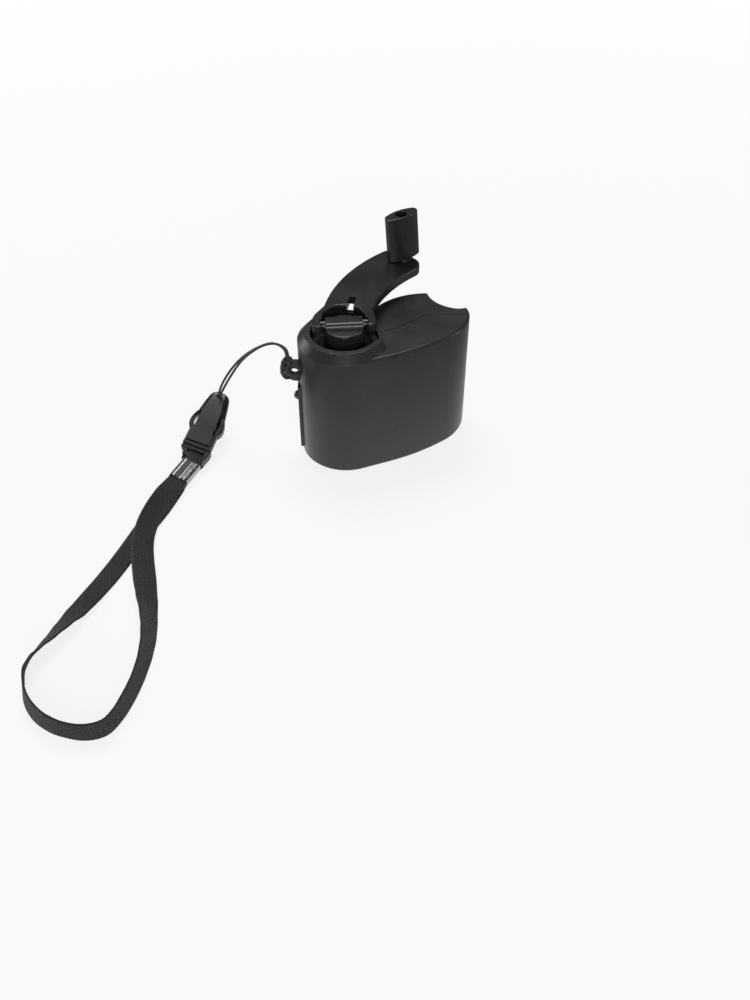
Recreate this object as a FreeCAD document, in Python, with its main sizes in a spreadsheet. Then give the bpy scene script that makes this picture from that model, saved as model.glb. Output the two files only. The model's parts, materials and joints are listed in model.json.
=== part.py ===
"""Hand crank phone charger with a folding crank and a wrist lanyard.

Frame: millimetres, origin on the crank's axis at the base plane, +Z up along the crank's axis,
+X from the hub end towards the tip of the case, +Y towards the concave rear side.
"""
import FreeCAD, Part
import math
import os

Vector = FreeCAD.Vector
Rotation = FreeCAD.Rotation
Placement = FreeCAD.Placement

doc = FreeCAD.newDocument("HandCrankCharger")

# ---------------------------------------------------------------- driving dimensions
SIZES = [
    # case
    ("case_height", 46.3), ("wall", 1.6), ("hub_end_radius", 16.0),
    ("flank_heading", 22.0), ("flank_length", 10.5),
    ("belly_radius", 78.9), ("belly_turn", 17.5), ("shoulder_radius", 19.5), ("shoulder_turn", 43.0),
    ("tip_radius", 11.0), ("tip_turn", 26.0), ("nib_radius", 0.8), ("nib_turn", 93.0),
    ("nib_blend_radius", 5.5), ("nib_blend_turn", 37.0),
    ("notch_radius", 12.6), ("notch_turn", 62.0), ("lobe_corner_radius", 0.8), ("lobe_corner_turn", 79.0),
    ("lobe_radius", 23.0), ("lobe_turn", 49.0), ("base_fillet", 1.5), ("rim_fillet", 0.9),
    ("seam_groove", 0.3),
    # raised ring and recess round the hub
    ("ring_height", 2.4), ("ring_drop", 0.3), ("ring_top_radius", 13.66),
    ("ring_gap_angle", 85.0), ("ring_gap_start", -23.0), ("recess_radius", 11.61),
    ("recess_depth", 1.8), ("recess_wall", 1.8),
    # hub end: raised panel, port, lamp and lanyard eye
    ("panel_rise", 0.5), ("panel_half_width", 4.0), ("panel_bottom", 2.2), ("panel_top", 28.6),
    ("port_height", 13.1), ("port_width", 5.7), ("port_middle", 12.9), ("port_clearance", 0.12),
    ("port_length", 11.6), ("port_skin", 0.3), ("port_projection", 0.15), ("port_wall", 3.1),
    ("lamp_radius", 1.75), ("lamp_height", 22.4), ("lamp_length", 3.2), ("lamp_collar", 2.2),
    ("eye_radius", 3.8), ("eye_thickness", 2.2), ("eye_height", 33.0), ("eye_hole", 1.4),
    ("eye_reach", 1.0), ("eye_hole_reach", 1.5),
    # casing screw at the hub end
    ("screw_post_radius", 3.3), ("screw_post_x", 1.2), ("screw_post_height", 23.0),
    ("screw_head_radius", 2.3), ("screw_head_height", 1.6), ("screw_well_radius", 2.8),
    ("screw_level", 5.0), ("screw_radius", 1.2), ("screw_hole_radius", 1.5), ("screw_length", 10.0),
    # crank hub and its bush
    ("hub_radius", 7.0), ("hub_drop", 2.0), ("hub_edge", 0.5), ("hub_gap", 0.4),
    ("shaft_radius", 3.0), ("pivot_radius", 2.0),
    ("bush_radius", 4.5), ("bush_flange_radius", 6.0), ("bush_flange", 1.0), ("bush_depth", 2.5),
    ("running_gap", 0.06),
    ("block_length", 12.6), ("block_far", 2.5), ("block_near", 2.7), ("block_round", 1.5),
    ("boss_length", 16.0), ("hinge_angle", 5.0), ("pin_radius", 1.0),
    # crank arm
    ("arm_thickness", 3.0), ("arm_clearance", 1.3), ("arm_root_radius", 10.8),
    ("arm_root_right", 16.0), ("arm_root_left", 146.0), ("ear_side", 1.9), ("ear_rise", 1.2),
    ("arm_window_radius", 7.2), ("arm_window_reach", 2.8), ("pocket_radius", 2.3), ("pocket_gap", 0.1),
    ("slot_width", 2.4), ("slot_end", 15.5), ("slot_lean", -15.5),
    ("arm_reach", 46.8), ("arm_lean", 31.5), ("arm_end_width", 17.2), ("arm_end_heading", 36.5),
    ("arm_notch_x", 10.1), ("arm_notch_y", 6.5), ("arm_neck_x", 6.1), ("arm_neck_y", 10.2),
    ("arm_corner_radius", 5.4), ("arm_bow", 3.6), ("arm_inner_bow", 2.3), ("arm_edge", 0.45),
    # knob and spindle
    ("knob_reach", 6.0), ("knob_facet", 2.9), ("knob_facet_lean", 0.15), ("knob_end_reach", 5.8),
    ("knob_end_width", 3.26), ("knob_end_shift", 0.85), ("knob_end_bow", 0.8), ("knob_near_bow", 1.7),
    ("knob_far_bow", 1.44), ("knob_height", 16.5), ("knob_edge", 0.4),
    ("knob_turn", 27.0), ("knob_gap", 0.45), ("knob_lean", 4.0), ("spindle_radius", 1.5),
    ("spindle_head_radius", 1.95), ("spindle_head_height", 1.4), ("spindle_seat", 0.15),
    ("spindle_foot", 0.6), ("knob_bore_radius", 2.15), ("knob_bore_depth", 11.0), ("knob_pad", 1.6),
    # gear train
    ("tooth_module", 0.5), ("pressure_angle", 20.0), ("tooth_share", 0.43), ("addendum", 0.85),
    ("dedendum", 1.2), ("drive_teeth", 42), ("first_pinion_teeth", 12), ("first_wheel_teeth", 36),
    ("second_pinion_teeth", 10), ("second_wheel_teeth", 36), ("rotor_pinion_teeth", 9),
    ("first_heading", 20.0), ("second_heading", 40.0), ("rotor_heading", 243.0),
    ("gear_width", 2.4), ("gear_level_gap", 0.5), ("train_depth", 14.8), ("frame_thickness", 2.0),
    ("gear_lift", 1.1), ("axle_radius", 1.0), ("sleeve_radius", 1.6), ("collar_radius", 2.4),
    ("clip_thickness", 0.4), ("clip_radius", 2.2), ("gear_float", 0.2),
    ("frame_post_radius", 1.6), ("frame_screw_radius", 0.8), ("frame_screw_head", 1.3),
    ("frame_screw_length", 5.0), ("frame_margin", 4.0),
    # generator
    ("can_radius", 9.5), ("can_level", 9.5), ("can_skin", 0.8), ("can_boss_radius", 3.0),
    ("can_boss_height", 1.6), ("can_screw_reach", 6.2), ("rotor_shaft_radius", 1.0),
    ("magnet_thickness", 2.0), ("magnet_foot", 3.0), ("magnet_head", 4.0),
    ("magnet_angle", 120.0), ("air_gap", 0.4), ("armature_foot", 3.5), ("armature_head", 4.5),
    ("armature_slot", 1.4), ("armature_core", 2.6),
    ("cap_thickness", 1.8), ("cap_boss_height", 1.4), ("terminal_width", 2.0), ("terminal_length", 3.0),
    ("terminal_skin", 0.5), ("terminal_reach", 5.5),
    # circuit board and its parts
    ("board_thickness", 1.0), ("board_width", 10.8), ("board_headroom", 3.9), ("board_bottom", 3.2),
    ("rib_width", 1.6), ("rib_x", -5.0), ("rib_foot", -14.6), ("rib_low", 3.4), ("rib_high", 3.0),
    ("capacitor_radius", 2.5), ("capacitor_length", 5.0), ("capacitor_x", -5.6), ("capacitor_z", 8.5),
    ("diode_radius", 0.8), ("diode_length", 2.8), ("diode_pitch", 2.2), ("diode_rise", 3.4),
    ("diode_x", -12.2), ("diode_z", 4.6), ("chip_width", 4.0), ("chip_thickness", 1.5),
    ("chip_x", -7.6), ("chip_z", 13.4), ("choke_radius", 2.6), ("choke_hole", 1.0),
    ("choke_thickness", 2.2), ("choke_x", -10.3), ("choke_drop", 4.1),
    ("tongue_thickness", 1.85), ("tongue_height", 11.1), ("tongue_length", 8.4), ("contact_width", 1.0),
    ("contact_thickness", 0.25), ("contact_length", 6.4), ("contact_pitch", 2.4),
    # lanyard: string, knot and buckle
    ("string_diameter", 1.1), ("string_spread", 0.75), ("knot_reach", 5.2), ("knot_side", 1.9),
    ("knot_ring", 1.95), ("knot_ring_lift", 0.85), ("knot_inset", 0.2),
    ("buckle_heading", 69.3), ("buckle_pitch", 21.8), ("buckle_roll", 14.0), ("crimp_dip", 22.4),
    ("socket_length", 22.0), ("socket_width", 10.6), ("socket_end_width", 7.0), ("socket_thickness", 6.0),
    ("socket_end_thickness", 4.6), ("socket_bevel", 1.2), ("socket_corner", 2.2), ("socket_collar", 4.0),
    ("window_top", 8.6), ("panel_width", 6.6), ("tongue_room_width", 7.8), ("tongue_room_height", 2.7),
    ("string_hole", 1.5), ("string_hole_place", 2.2),
    ("plug_flange", 1.4), ("plug_step", 1.6), ("plug_fit", 0.15), ("bar_reach", 28.0), ("bar_radius", 0.7),
    ("cheek_width", 1.1), ("plug_width", 10.0),
    # lanyard: webbing and crimp
    ("webbing_thickness", 0.8), ("webbing_width", 7.0), ("tab_length", 7.5),
    ("crimp_start", 2.6), ("crimp_length", 9.3), ("crimp_width", 8.2), ("crimp_thickness", 4.6),
    ("crimp_skin", 0.4), ("crimp_ridge", 0.5), ("strap_diameter", 3.4), ("strap_offset", 1.85),
    ("strap_grip", 3.0), ("strap_lead", 2.4),
]
sheet = doc.addObject("Spreadsheet::Sheet", "Sizes")
for row, (alias, number) in enumerate(SIZES, start=1):
    sheet.set(f"A{row}", alias)
    sheet.set(f"B{row}", str(number))
    sheet.setAlias(f"B{row}", alias)
doc.recompute()


def size(alias):
    return float(getattr(sheet, alias))


# ---------------------------------------------------------------- drawing helpers
def bind(thing, **formulas):
    """Bind properties to sheet formulas; every alias in a formula is written as it is."""
    for prop, formula in formulas.items():
        thing.setExpression(prop.replace("__", "."), formula)
    return thing


def sized(formula):
    """Put the sheet's name in front of each alias of a formula."""
    out, word = "", ""
    for letter in formula + " ":
        if letter.isalnum() or letter == "_":
            word += letter
        else:
            out += ("Sizes." + word if word in NAMES else word) + letter
            word = ""
    return out.strip()


NAMES = {alias for alias, _ in SIZES}
TURNS = {
    "Z": Rotation(), "X": Rotation(Vector(0, 1, 0), 90),
    "Y": Rotation(Vector(1, 0, 0), -90), "-Y": Rotation(Vector(1, 0, 0), 90),
    "-Z": Rotation(Vector(1, 0, 0), 180),
}


def put(thing, x="0", y="0", z="0"):
    return bind(thing, Placement__Base__x=sized(x), Placement__Base__y=sized(y), Placement__Base__z=sized(z))


def rod(name, radius, length, x="0", y="0", z="0", along="Z"):
    thing = doc.addObject("Part::Cylinder", name)
    bind(thing, Radius=sized(radius), Height=sized(length))
    thing.Placement = Placement(Vector(), TURNS[along])
    return put(thing, x, y, z)


def block(name, dx, dy, dz, x="0", y="0", z="0"):
    thing = doc.addObject("Part::Box", name)
    bind(thing, Length=sized(dx), Width=sized(dy), Height=sized(dz))
    return put(thing, x, y, z)


def ball(name, radius, x="0", y="0", z="0"):
    thing = doc.addObject("Part::Sphere", name)
    bind(thing, Radius=sized(radius))
    return put(thing, x, y, z)


def cut(name, base, *tools):
    tool = tools[0] if len(tools) == 1 else fuse(name + "_tools", *tools)
    thing = doc.addObject("Part::Cut", name)
    thing.Base, thing.Tool = base, tool
    return thing


def fuse(name, *pieces):
    thing = doc.addObject("Part::MultiFuse", name)
    thing.Shapes = list(pieces)
    return thing


def both(name, base, tool):
    thing = doc.addObject("Part::Common", name)
    thing.Base, thing.Tool = base, tool
    return thing


def group(name, *pieces):
    """Identical pieces that share one node as separate solids."""
    thing = doc.addObject("Part::Compound", name)
    thing.Links = list(pieces)
    return thing


def unit(angle):
    return Vector(math.cos(math.radians(angle)), math.sin(math.radians(angle)), 0)


class Outline:
    """A closed outline drawn edge by edge from a start point and a heading in degrees."""

    def __init__(self, start, heading):
        self.start, self.at, self.heading, self.edges = start, start, heading, []

    def line_to(self, end):
        self.edges.append(Part.LineSegment(self.at, end))
        self.heading = math.degrees(math.atan2(end.y - self.at.y, end.x - self.at.x))
        self.at = end
        return self

    def line(self, length):
        return self.line_to(self.at + unit(self.heading) * length)

    def arc(self, radius, turn):
        """Turn left by a positive angle, right by a negative one."""
        side = math.copysign(90, turn)
        middle = self.at + unit(self.heading + side) * radius
        halfway = middle + unit(self.heading + turn / 2 - side) * radius
        end = middle + unit(self.heading + turn - side) * radius
        self.edges.append(Part.Arc(self.at, halfway, end))
        self.at, self.heading = end, self.heading + turn
        return self

    def bow_to(self, end, rise):
        """An arc to a point, bowed to the right of its chord by the rise."""
        chord = end - self.at
        right = Vector(chord.y, -chord.x, 0).normalize()
        arc = Part.Arc(self.at, (self.at + end) * 0.5 + right * rise, end)
        self.edges.append(arc)
        self.at = end
        return self

    def close(self):
        return self.line_to(self.start)


def plane(body, role):
    return next(feature for feature in body.Origin.OriginFeatures if feature.Role == role)


def sketched(name, outlines, role="XY_Plane", level="0"):
    """A body with one sketch of closed outlines on an origin plane, lifted along its normal."""
    body = doc.addObject("PartDesign::Body", name)
    sketch = body.newObject("Sketcher::SketchObject", name + "_sketch")
    sketch.AttachmentSupport = [(plane(body, role), "")]
    sketch.MapMode = "FlatFace"
    sketch.addGeometry([edge for outline in outlines for edge in outline], False)
    bind(sketch, AttachmentOffset__Base__z=sized(level))
    return body, sketch


def padded(name, outlines, length, level="0", role="XY_Plane"):
    body, sketch = sketched(name, outlines, role, level)
    pad = body.newObject("PartDesign::Pad", name + "_pad")
    pad.Profile = sketch
    bind(pad, Length=sized(length))
    return body


def circle(x, y, radius):
    return [Part.Circle(Vector(x, y, 0), Vector(0, 0, 1), radius)]


def polygon(points):
    ring = points + points[:1]
    return [Part.LineSegment(a, b) for a, b in zip(ring, ring[1:])]


# ---------------------------------------------------------------- case
FAR = 60.0
SEAM = [Vector(-24, 0, 0), Vector(-11, 0, 0), Vector(11.3, 3.7, 0), Vector(17.2, 5.8, 0),
        Vector(23.7, 10.5, 0), Vector(27.7, 14.5, 0), Vector(52, 15, 0)]


def case_outline():
    """Plan of the case: hub end, straight flank, belly, tip, notch for the folded knob, rear lobe, waist."""
    hub = size("hub_end_radius")
    start = unit(size("flank_heading") - 90) * hub
    line = Outline(start, size("flank_heading"))
    line.line(size("flank_length"))
    line.arc(size("belly_radius"), size("belly_turn"))
    line.arc(size("shoulder_radius"), size("shoulder_turn"))
    line.arc(size("tip_radius"), size("tip_turn"))
    line.arc(size("nib_radius"), size("nib_turn"))
    line.arc(size("nib_blend_radius"), -size("nib_blend_turn"))
    line.arc(size("notch_radius"), -size("notch_turn"))
    line.arc(size("lobe_corner_radius"), size("lobe_corner_turn"))
    line.arc(size("lobe_radius"), size("lobe_turn"))
    # the waist is the one arc that leaves the lobe and meets the hub end without a corner
    right = unit(line.heading - 90)
    waist = (line.at.dot(line.at) - hub * hub) / (2 * (hub - line.at.dot(right)))
    middle = line.at + right * waist
    meeting = math.degrees(math.atan2(middle.y, middle.x))
    line.arc(waist, (meeting + 90) - line.heading)
    turn = (size("flank_heading") - 90) % 360 - meeting
    line.edges.append(Part.Arc(line.at, unit(meeting + turn / 2) * hub, start))
    return line.edges


def seam_side():
    """Plan of the rear half: the seam line, closed far outside the case."""
    return polygon(SEAM + [Vector(SEAM[-1].x, FAR, 0), Vector(SEAM[0].x, FAR, 0)])


def seam_strip():
    """Plan of the fine groove along the seam."""
    half = Vector(0, size("seam_groove") / 2, 0)
    return polygon([point - half for point in SEAM] + [point + half for point in reversed(SEAM)])


def near(number, target):
    return abs(number - target) < 1e-4


def level_edges(shape, level):
    """Names of the edges that lie at one height."""
    return [f"Edge{i}" for i, edge in enumerate(shape.Edges, start=1)
            if near(edge.BoundBox.ZMin, level) and near(edge.BoundBox.ZMax, level)]


def rounded(body, name, level, radius):
    """Round the edges of a body that lie at one height above its own origin plane."""
    doc.recompute()
    last = body.Tip
    edges = level_edges(last.Shape, level)
    rounding = body.newObject("PartDesign::Fillet", name)
    rounding.Base = (last, edges)
    return bind(rounding, Radius=sized(radius))


case_block = padded("case_block", [case_outline()], "case_height")
rounded(case_block, "base_round", 0, "base_fillet")
rounded(case_block, "rim_round", size("case_height"), "rim_fillet")
doc.recompute()


def part_ring(thing, level):
    """Leave the ring's gap out of a cone or cylinder and set it on the crank's axis."""
    return bind(thing, Angle=sized("360 - ring_gap_angle"),
                Placement__Rotation__Angle=sized("ring_gap_start + ring_gap_angle"),
                Placement__Base__z=sized(level))


def ring_cone(name, inset):
    """The ring's sloping body; the inset makes it smaller all round."""
    thing = doc.addObject("Part::Cone", name)
    bind(thing, Radius1=sized(f"hub_end_radius - {inset}"), Radius2=sized(f"ring_top_radius - {inset}"),
         Height=sized("ring_height + ring_drop"))
    return part_ring(thing, f"case_height - ring_drop - {inset}")


ring_skirt = doc.addObject("Part::Cylinder", "ring_skirt")
bind(ring_skirt, Radius=sized("hub_end_radius"), Height=sized("rim_fillet"))
part_ring(ring_skirt, "case_height - ring_drop - rim_fillet")
eye_boss = rod("eye_boss", "eye_radius", "eye_thickness",
               "-hub_end_radius - eye_reach", "-eye_thickness / 2", "eye_height", "Y")
panel = block("panel", "hub_end_radius / 2", "2 * panel_half_width", "panel_top - panel_bottom",
              "-hub_end_radius - panel_rise", "-panel_half_width", "panel_bottom")
outer = fuse("case_outer", case_block, ring_skirt, ring_cone("ring", 0), eye_boss, panel)

recess = rod("recess", "recess_radius", "recess_depth + ring_height + 1", z="case_height - recess_depth")
port_window = block("port_window", "6", "port_width + 2 * port_clearance", "port_height + 2 * port_clearance",
                    "-hub_end_radius - 1", "-port_width / 2 - port_clearance",
                    "port_middle - port_height / 2 - port_clearance")
lamp_hole = rod("lamp_hole", "lamp_radius + port_clearance", "6", "-hub_end_radius - 1", "0", "lamp_height", "X")
eye_hole = rod("eye_hole", "eye_hole", "eye_thickness + 2", "-hub_end_radius - eye_hole_reach",
               "-eye_thickness / 2 - 1", "eye_height", "Y")
bush_hole = rod("bush_hole", "bush_radius", "8", z="case_height - recess_depth - 6")

inside = doc.addObject("Part::Feature", "inside")
inner_line = doc.getObject("case_block_sketch").Shape.Wires[0].makeOffset2D(-size("wall"))
ceiling = size("case_height") - size("recess_depth")
inside.Shape = Part.Face(inner_line).extrude(Vector(0, 0, ceiling - size("wall")))
inside.Placement = Placement(Vector(0, 0, size("wall")), Rotation())
recess_floor = rod("recess_floor", "recess_radius + recess_wall", "8",
                   z="case_height - recess_depth - recess_wall")
port_backing = block("port_backing", "6", "2 * panel_half_width + 3", "panel_top + 2",
                     "port_wall - panel_rise - hub_end_radius - 6", "-panel_half_width - 1.5", "0")
cavity = cut("cavity", inside, recess_floor, port_backing)

# the seam's groove is the strip along the seam less everything deeper than its depth
core = doc.addObject("Part::Feature", "core")
core_line = doc.getObject("case_block_sketch").Shape.Wires[0].makeOffset2D(-size("seam_groove"))
core.Shape = Part.Face(core_line).extrude(Vector(0, 0, size("case_height") - 2 * size("seam_groove")))
core.Placement = Placement(Vector(0, 0, size("seam_groove")), Rotation())
strip = padded("seam_strip", [seam_strip()], "case_height + 20", "-10")
groove = cut("groove", strip, core, ring_cone("ring_core", "seam_groove"), eye_boss)
hollow_case = cut("hollow_case", outer, cavity, recess, port_window, lamp_hole, eye_hole, bush_hole, groove)

# the lanyard eye stays whole on the front half
eye_side = block("eye_side", "2 * eye_radius", "eye_radius", "4 * eye_radius",
                 "-hub_end_radius - 2 * eye_radius", "-seam_groove", "eye_height - 2 * eye_radius")
rear_side = cut("rear_side", padded("rear_blank", [seam_side()], "case_height + 20", "-10"), eye_side)
front_half = cut("front_half", hollow_case, rear_side)
rear_half = both("rear_half", hollow_case, rear_side)

# casing screw: a well in the rear half, a post with a pilot hole in the front half
POST = {"x": "screw_post_x", "z": "screw_post_height", "along": "Y"}
post_bar = rod("post_bar", "screw_post_radius", "2 * hub_end_radius - wall", y="-hub_end_radius + wall / 2", **POST)
rear_post = both("rear_post", post_bar, rear_side)
front_post = cut("front_post", post_bar, rear_side)
screw_well = rod("screw_well", "screw_well_radius", "hub_end_radius", y="screw_level", **POST)
screw_way = rod("screw_way", "screw_hole_radius", "hub_end_radius", y="1", **POST)
pilot = rod("pilot", "screw_radius", "screw_length", y="screw_level - screw_length", **POST)

# ---------------------------------------------------------------- axes of the gear train
CRANK_AXIS = Vector(0, 0, 0)


def pitch_radius(teeth_alias):
    return size(teeth_alias) * size("tooth_module") / 2


FIRST_AXIS = CRANK_AXIS + unit(size("first_heading")) * (
    pitch_radius("drive_teeth") + pitch_radius("first_pinion_teeth"))
SECOND_AXIS = FIRST_AXIS + unit(size("second_heading")) * (
    pitch_radius("first_wheel_teeth") + pitch_radius("second_pinion_teeth"))
ROTOR_AXIS = SECOND_AXIS + unit(size("rotor_heading")) * (
    pitch_radius("second_wheel_teeth") + pitch_radius("rotor_pinion_teeth"))

# levels of the train, from the frame plate upwards
frame_top = size("case_height") - size("train_depth")
second_level = frame_top + size("gear_lift")
first_level = second_level + size("gear_width") + size("gear_level_gap") + 0.1
drive_level = first_level + size("gear_width") + size("gear_level_gap")
drive_top = drive_level + size("gear_width") + size("gear_level_gap")


def involute(angle):
    return math.tan(angle) - angle


def half_angle(teeth, radius):
    """Half the angle that a tooth fills at a radius; below the base circle its flank runs radially."""
    pressure = math.radians(size("pressure_angle"))
    pitch = teeth * size("tooth_module") / 2
    base = pitch * math.cos(pressure)
    here = math.acos(base / radius) if radius > base else 0.0
    return 2 * math.pi / teeth * size("tooth_share") / 2 + involute(pressure) - involute(here)


def gear_outline(teeth, phase=0.0):
    """Polygon of a spur gear; the phase is the angle of one tooth's middle, in degrees."""
    pitch = teeth * size("tooth_module") / 2
    root = pitch - size("dedendum") * size("tooth_module")
    tip = pitch + size("addendum") * size("tooth_module")
    points = []
    for tooth in range(int(teeth)):
        middle = math.radians(phase) + 2 * math.pi * tooth / teeth
        for side, radii in ((-1, (root, pitch, tip)), (1, (tip, pitch, root))):
            for radius in radii:
                angle = middle + side * half_angle(teeth, radius)
                points.append(Vector(radius * math.cos(angle), radius * math.sin(angle), 0))
    return polygon(points)


def mesh_phase(teeth, phase, mate_teeth, heading):
    """Phase of a mate whose gap meets the tooth of a gear along the line of centres."""
    pitch_angle = 360 / teeth
    offset = (phase - heading + pitch_angle / 2) % pitch_angle - pitch_angle / 2
    return heading + 180 - offset * teeth / mate_teeth + 180 / mate_teeth


def seated(thing, axis, level=0.0):
    thing.Placement = Placement(axis + Vector(0, 0, level), Rotation())
    return thing


def gear(name, teeth_alias, phase, width, level, axis):
    return seated(padded(name, [gear_outline(size(teeth_alias), phase)], width), axis, level)


def pillar(name, radius, length, axis, level, turned="Z"):
    """A cylinder bound to the sheet on an axis of the train."""
    thing = doc.addObject("Part::Cylinder", name)
    bind(thing, Radius=sized(radius), Height=sized(length))
    thing.Placement = Placement(axis + Vector(0, 0, level), TURNS[turned])
    return thing


def crate(name, corner, *formulas):
    """A box from its lowest corner and three formulas."""
    thing = doc.addObject("Part::Box", name)
    bind(thing, Length=sized(formulas[0]), Width=sized(formulas[1]), Height=sized(formulas[2]))
    thing.Placement = Placement(corner, Rotation())
    return thing


def washer(name, outer_radius, inner_radius, thickness, axis, level):
    disc = pillar(name + "_disc", outer_radius, thickness, axis, level)
    hole = pillar(name + "_hole", inner_radius, thickness + " + 2", axis, level - 1)
    return cut(name, disc, hole)


# ---------------------------------------------------------------- gear frame, axles and screws
FRAME_POSTS = [Vector(-11.17, -6.45, 0), Vector(26.9, -1.6, 0), Vector(33.3, 5.5, 0)]
frame_level = frame_top - size("frame_thickness")


def frame_outline():
    """Plate round the crank's pivot, the axles and the three screw posts, with rounded lugs."""
    margin = size("frame_margin")
    corners = [FRAME_POSTS[0], Vector(14, -5.2, 0), FRAME_POSTS[1], FRAME_POSTS[2], SECOND_AXIS,
               Vector(6, 8.2, 0), Vector(-7, 4.6, 0)]
    middle = sum(corners, Vector()) * (1 / len(corners))
    pushed = [corner + (corner - middle).normalize() * (margin * 0.7) for corner in corners]
    return polygon(pushed)


frame_blank = padded("frame_blank", [frame_outline()], "frame_thickness")
seated(frame_blank, Vector(), frame_level)
frame_case = doc.addObject("Part::Feature", "frame_case")
frame_case.Shape = inside.Shape.copy()
frame_trim = both("frame_trim", frame_blank, frame_case)
pivot_hole = pillar("pivot_hole", "pivot_radius + running_gap", "8", CRANK_AXIS, frame_level - 2)
boss_hole = pillar("boss_hole", "can_boss_radius", "8", ROTOR_AXIS, frame_level - 2)
axle_holes = [pillar(f"axle_hole_{i}", "axle_radius", "8", axis, frame_level - 2)
              for i, axis in enumerate((FIRST_AXIS, SECOND_AXIS), start=1)]
screw_holes = [pillar(f"frame_screw_hole_{i}", "frame_screw_radius", "8", post, frame_level - 2)
               for i, post in enumerate(FRAME_POSTS, start=1)]
CAN_SCREWS = [ROTOR_AXIS + unit(angle) * size("can_screw_reach") for angle in (60, 240)]
can_screw_holes = [pillar(f"can_screw_hole_{i}", "frame_screw_radius", "8", place, frame_level - 2)
                   for i, place in enumerate(CAN_SCREWS, start=1)]
gear_frame = cut("gear_frame", frame_trim, pivot_hole, boss_hole, *axle_holes, *screw_holes, *can_screw_holes)

post_length = size("case_height") - size("recess_depth") - frame_top
frame_posts = [cut(f"frame_post_{i}",
                   pillar(f"frame_post_{i}_bar", "frame_post_radius", f"{post_length} + 0.1", post, frame_top),
                   pillar(f"frame_post_{i}_pilot", "frame_screw_radius", "frame_screw_length", post,
                          frame_top - 1))
               for i, post in enumerate(FRAME_POSTS, start=1)]


def pan_screw(name, radius, head_radius, length, head, place, turned):
    """A screw with a flat round head; its shank starts at the head's underside."""
    shank = doc.addObject("Part::Cylinder", name + "_shank")
    bind(shank, Radius=sized(radius), Height=sized(length))
    shank.Placement = Placement(place, TURNS[turned])
    cap = doc.addObject("Part::Cylinder", name + "_head")
    bind(cap, Radius=sized(head_radius), Height=sized(head))
    back = TURNS[turned].multVec(Vector(0, 0, -size(head)))
    cap.Placement = Placement(place + back, TURNS[turned])
    return fuse(name, shank, cap)


frame_screws = group("frame_screws", *[
    pan_screw(f"frame_screw_{i}", "frame_screw_radius", "frame_screw_head", "frame_screw_length",
              "cap_boss_height", post + Vector(0, 0, frame_level), "Z")
    for i, post in enumerate(FRAME_POSTS, start=1)])
generator_screws = group("generator_screws", *[
    pan_screw(f"generator_screw_{i}", "frame_screw_radius", "axle_radius * 1.4",
              "frame_thickness + can_skin", "can_skin", place + Vector(0, 0, frame_top), "-Z")
    for i, place in enumerate(CAN_SCREWS, start=1)])
casing_screw = pan_screw("casing_screw", "screw_radius", "screw_head_radius", "screw_length",
                         "screw_head_height",
                         Vector(size("screw_post_x"), size("screw_level"), size("screw_post_height")), "-Y")

first_axle_top = drive_top + size("clip_thickness") + 2 * size("gear_float")
second_axle_top = drive_level + size("clip_thickness") + 2 * size("gear_float")
first_axle = pillar("first_axle", "axle_radius", str(first_axle_top - frame_level), FIRST_AXIS, frame_level)
second_axle = pillar("second_axle", "axle_radius", str(second_axle_top - frame_level), SECOND_AXIS, frame_level)
axle_clips = group("axle_clips", *[
    washer(f"axle_clip_{i}", "clip_radius", "axle_radius", "clip_thickness", axis, level + size("gear_float"))
    for i, (axis, level) in enumerate(((FIRST_AXIS, drive_top), (SECOND_AXIS, drive_level)), start=1)])

# ---------------------------------------------------------------- gears
first_phase = mesh_phase(size("drive_teeth"), 0, size("first_pinion_teeth"), size("first_heading"))
second_phase = mesh_phase(size("first_wheel_teeth"), 0, size("second_pinion_teeth"), size("second_heading"))
rotor_phase = mesh_phase(size("second_wheel_teeth"), 0, size("rotor_pinion_teeth"), size("rotor_heading"))

drive_blank = gear("drive_blank", "drive_teeth", 0, "gear_width", drive_level + size("gear_level_gap"), CRANK_AXIS)
drive_bore = pillar("drive_bore", "shaft_radius", "8", CRANK_AXIS, drive_level - 2)
drive_gear = cut("drive_gear", drive_blank, drive_bore)


def compound_gear(name, wheel, pinion, phase, level, sleeve, axis):
    """A wheel with its pinion above and a sleeve below, moulded in one, bored for its axle."""
    top = level + size("gear_width")
    sleeve_start = frame_top + size("gear_float")
    return cut(name, fuse(
        name + "_solid",
        gear(name + "_wheel", wheel, 0, "gear_width", level, axis),
        gear(name + "_pinion", pinion, phase, "gear_width + gear_level_gap", top, axis),
        pillar(name + "_sleeve", sleeve, str(level - sleeve_start + 0.1), axis, sleeve_start)),
        pillar(name + "_bore", "axle_radius + running_gap", "20", axis, frame_level))


first_gear = compound_gear("first_gear", "first_wheel_teeth", "first_pinion_teeth", first_phase,
                           first_level, "sleeve_radius", FIRST_AXIS)
second_gear = compound_gear("second_gear", "second_wheel_teeth", "second_pinion_teeth", second_phase,
                            second_level, "collar_radius", SECOND_AXIS)

# ---------------------------------------------------------------- generator
can_top = frame_level
can_floor = size("can_level")
can_length = can_top - can_floor
can_body = pillar("can_body", "can_radius", str(can_length), ROTOR_AXIS, can_floor)
can_boss = pillar("can_boss", "can_boss_radius", "can_boss_height", ROTOR_AXIS, can_top)
can_bore = pillar("can_bore", "can_radius - can_skin", str(can_length), ROTOR_AXIS, can_floor - size("can_skin"))
can_shaft_hole = pillar("can_shaft_hole", "rotor_shaft_radius + running_gap", "20", ROTOR_AXIS, can_top - 5)
can_taps = [pillar(f"can_tap_{i}", "frame_screw_radius", "4", place, can_top - 2)
            for i, place in enumerate(CAN_SCREWS, start=1)]
generator_can = cut("generator_can", fuse("can_solid", can_body, can_boss), can_bore, can_shaft_hole, *can_taps)

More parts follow.
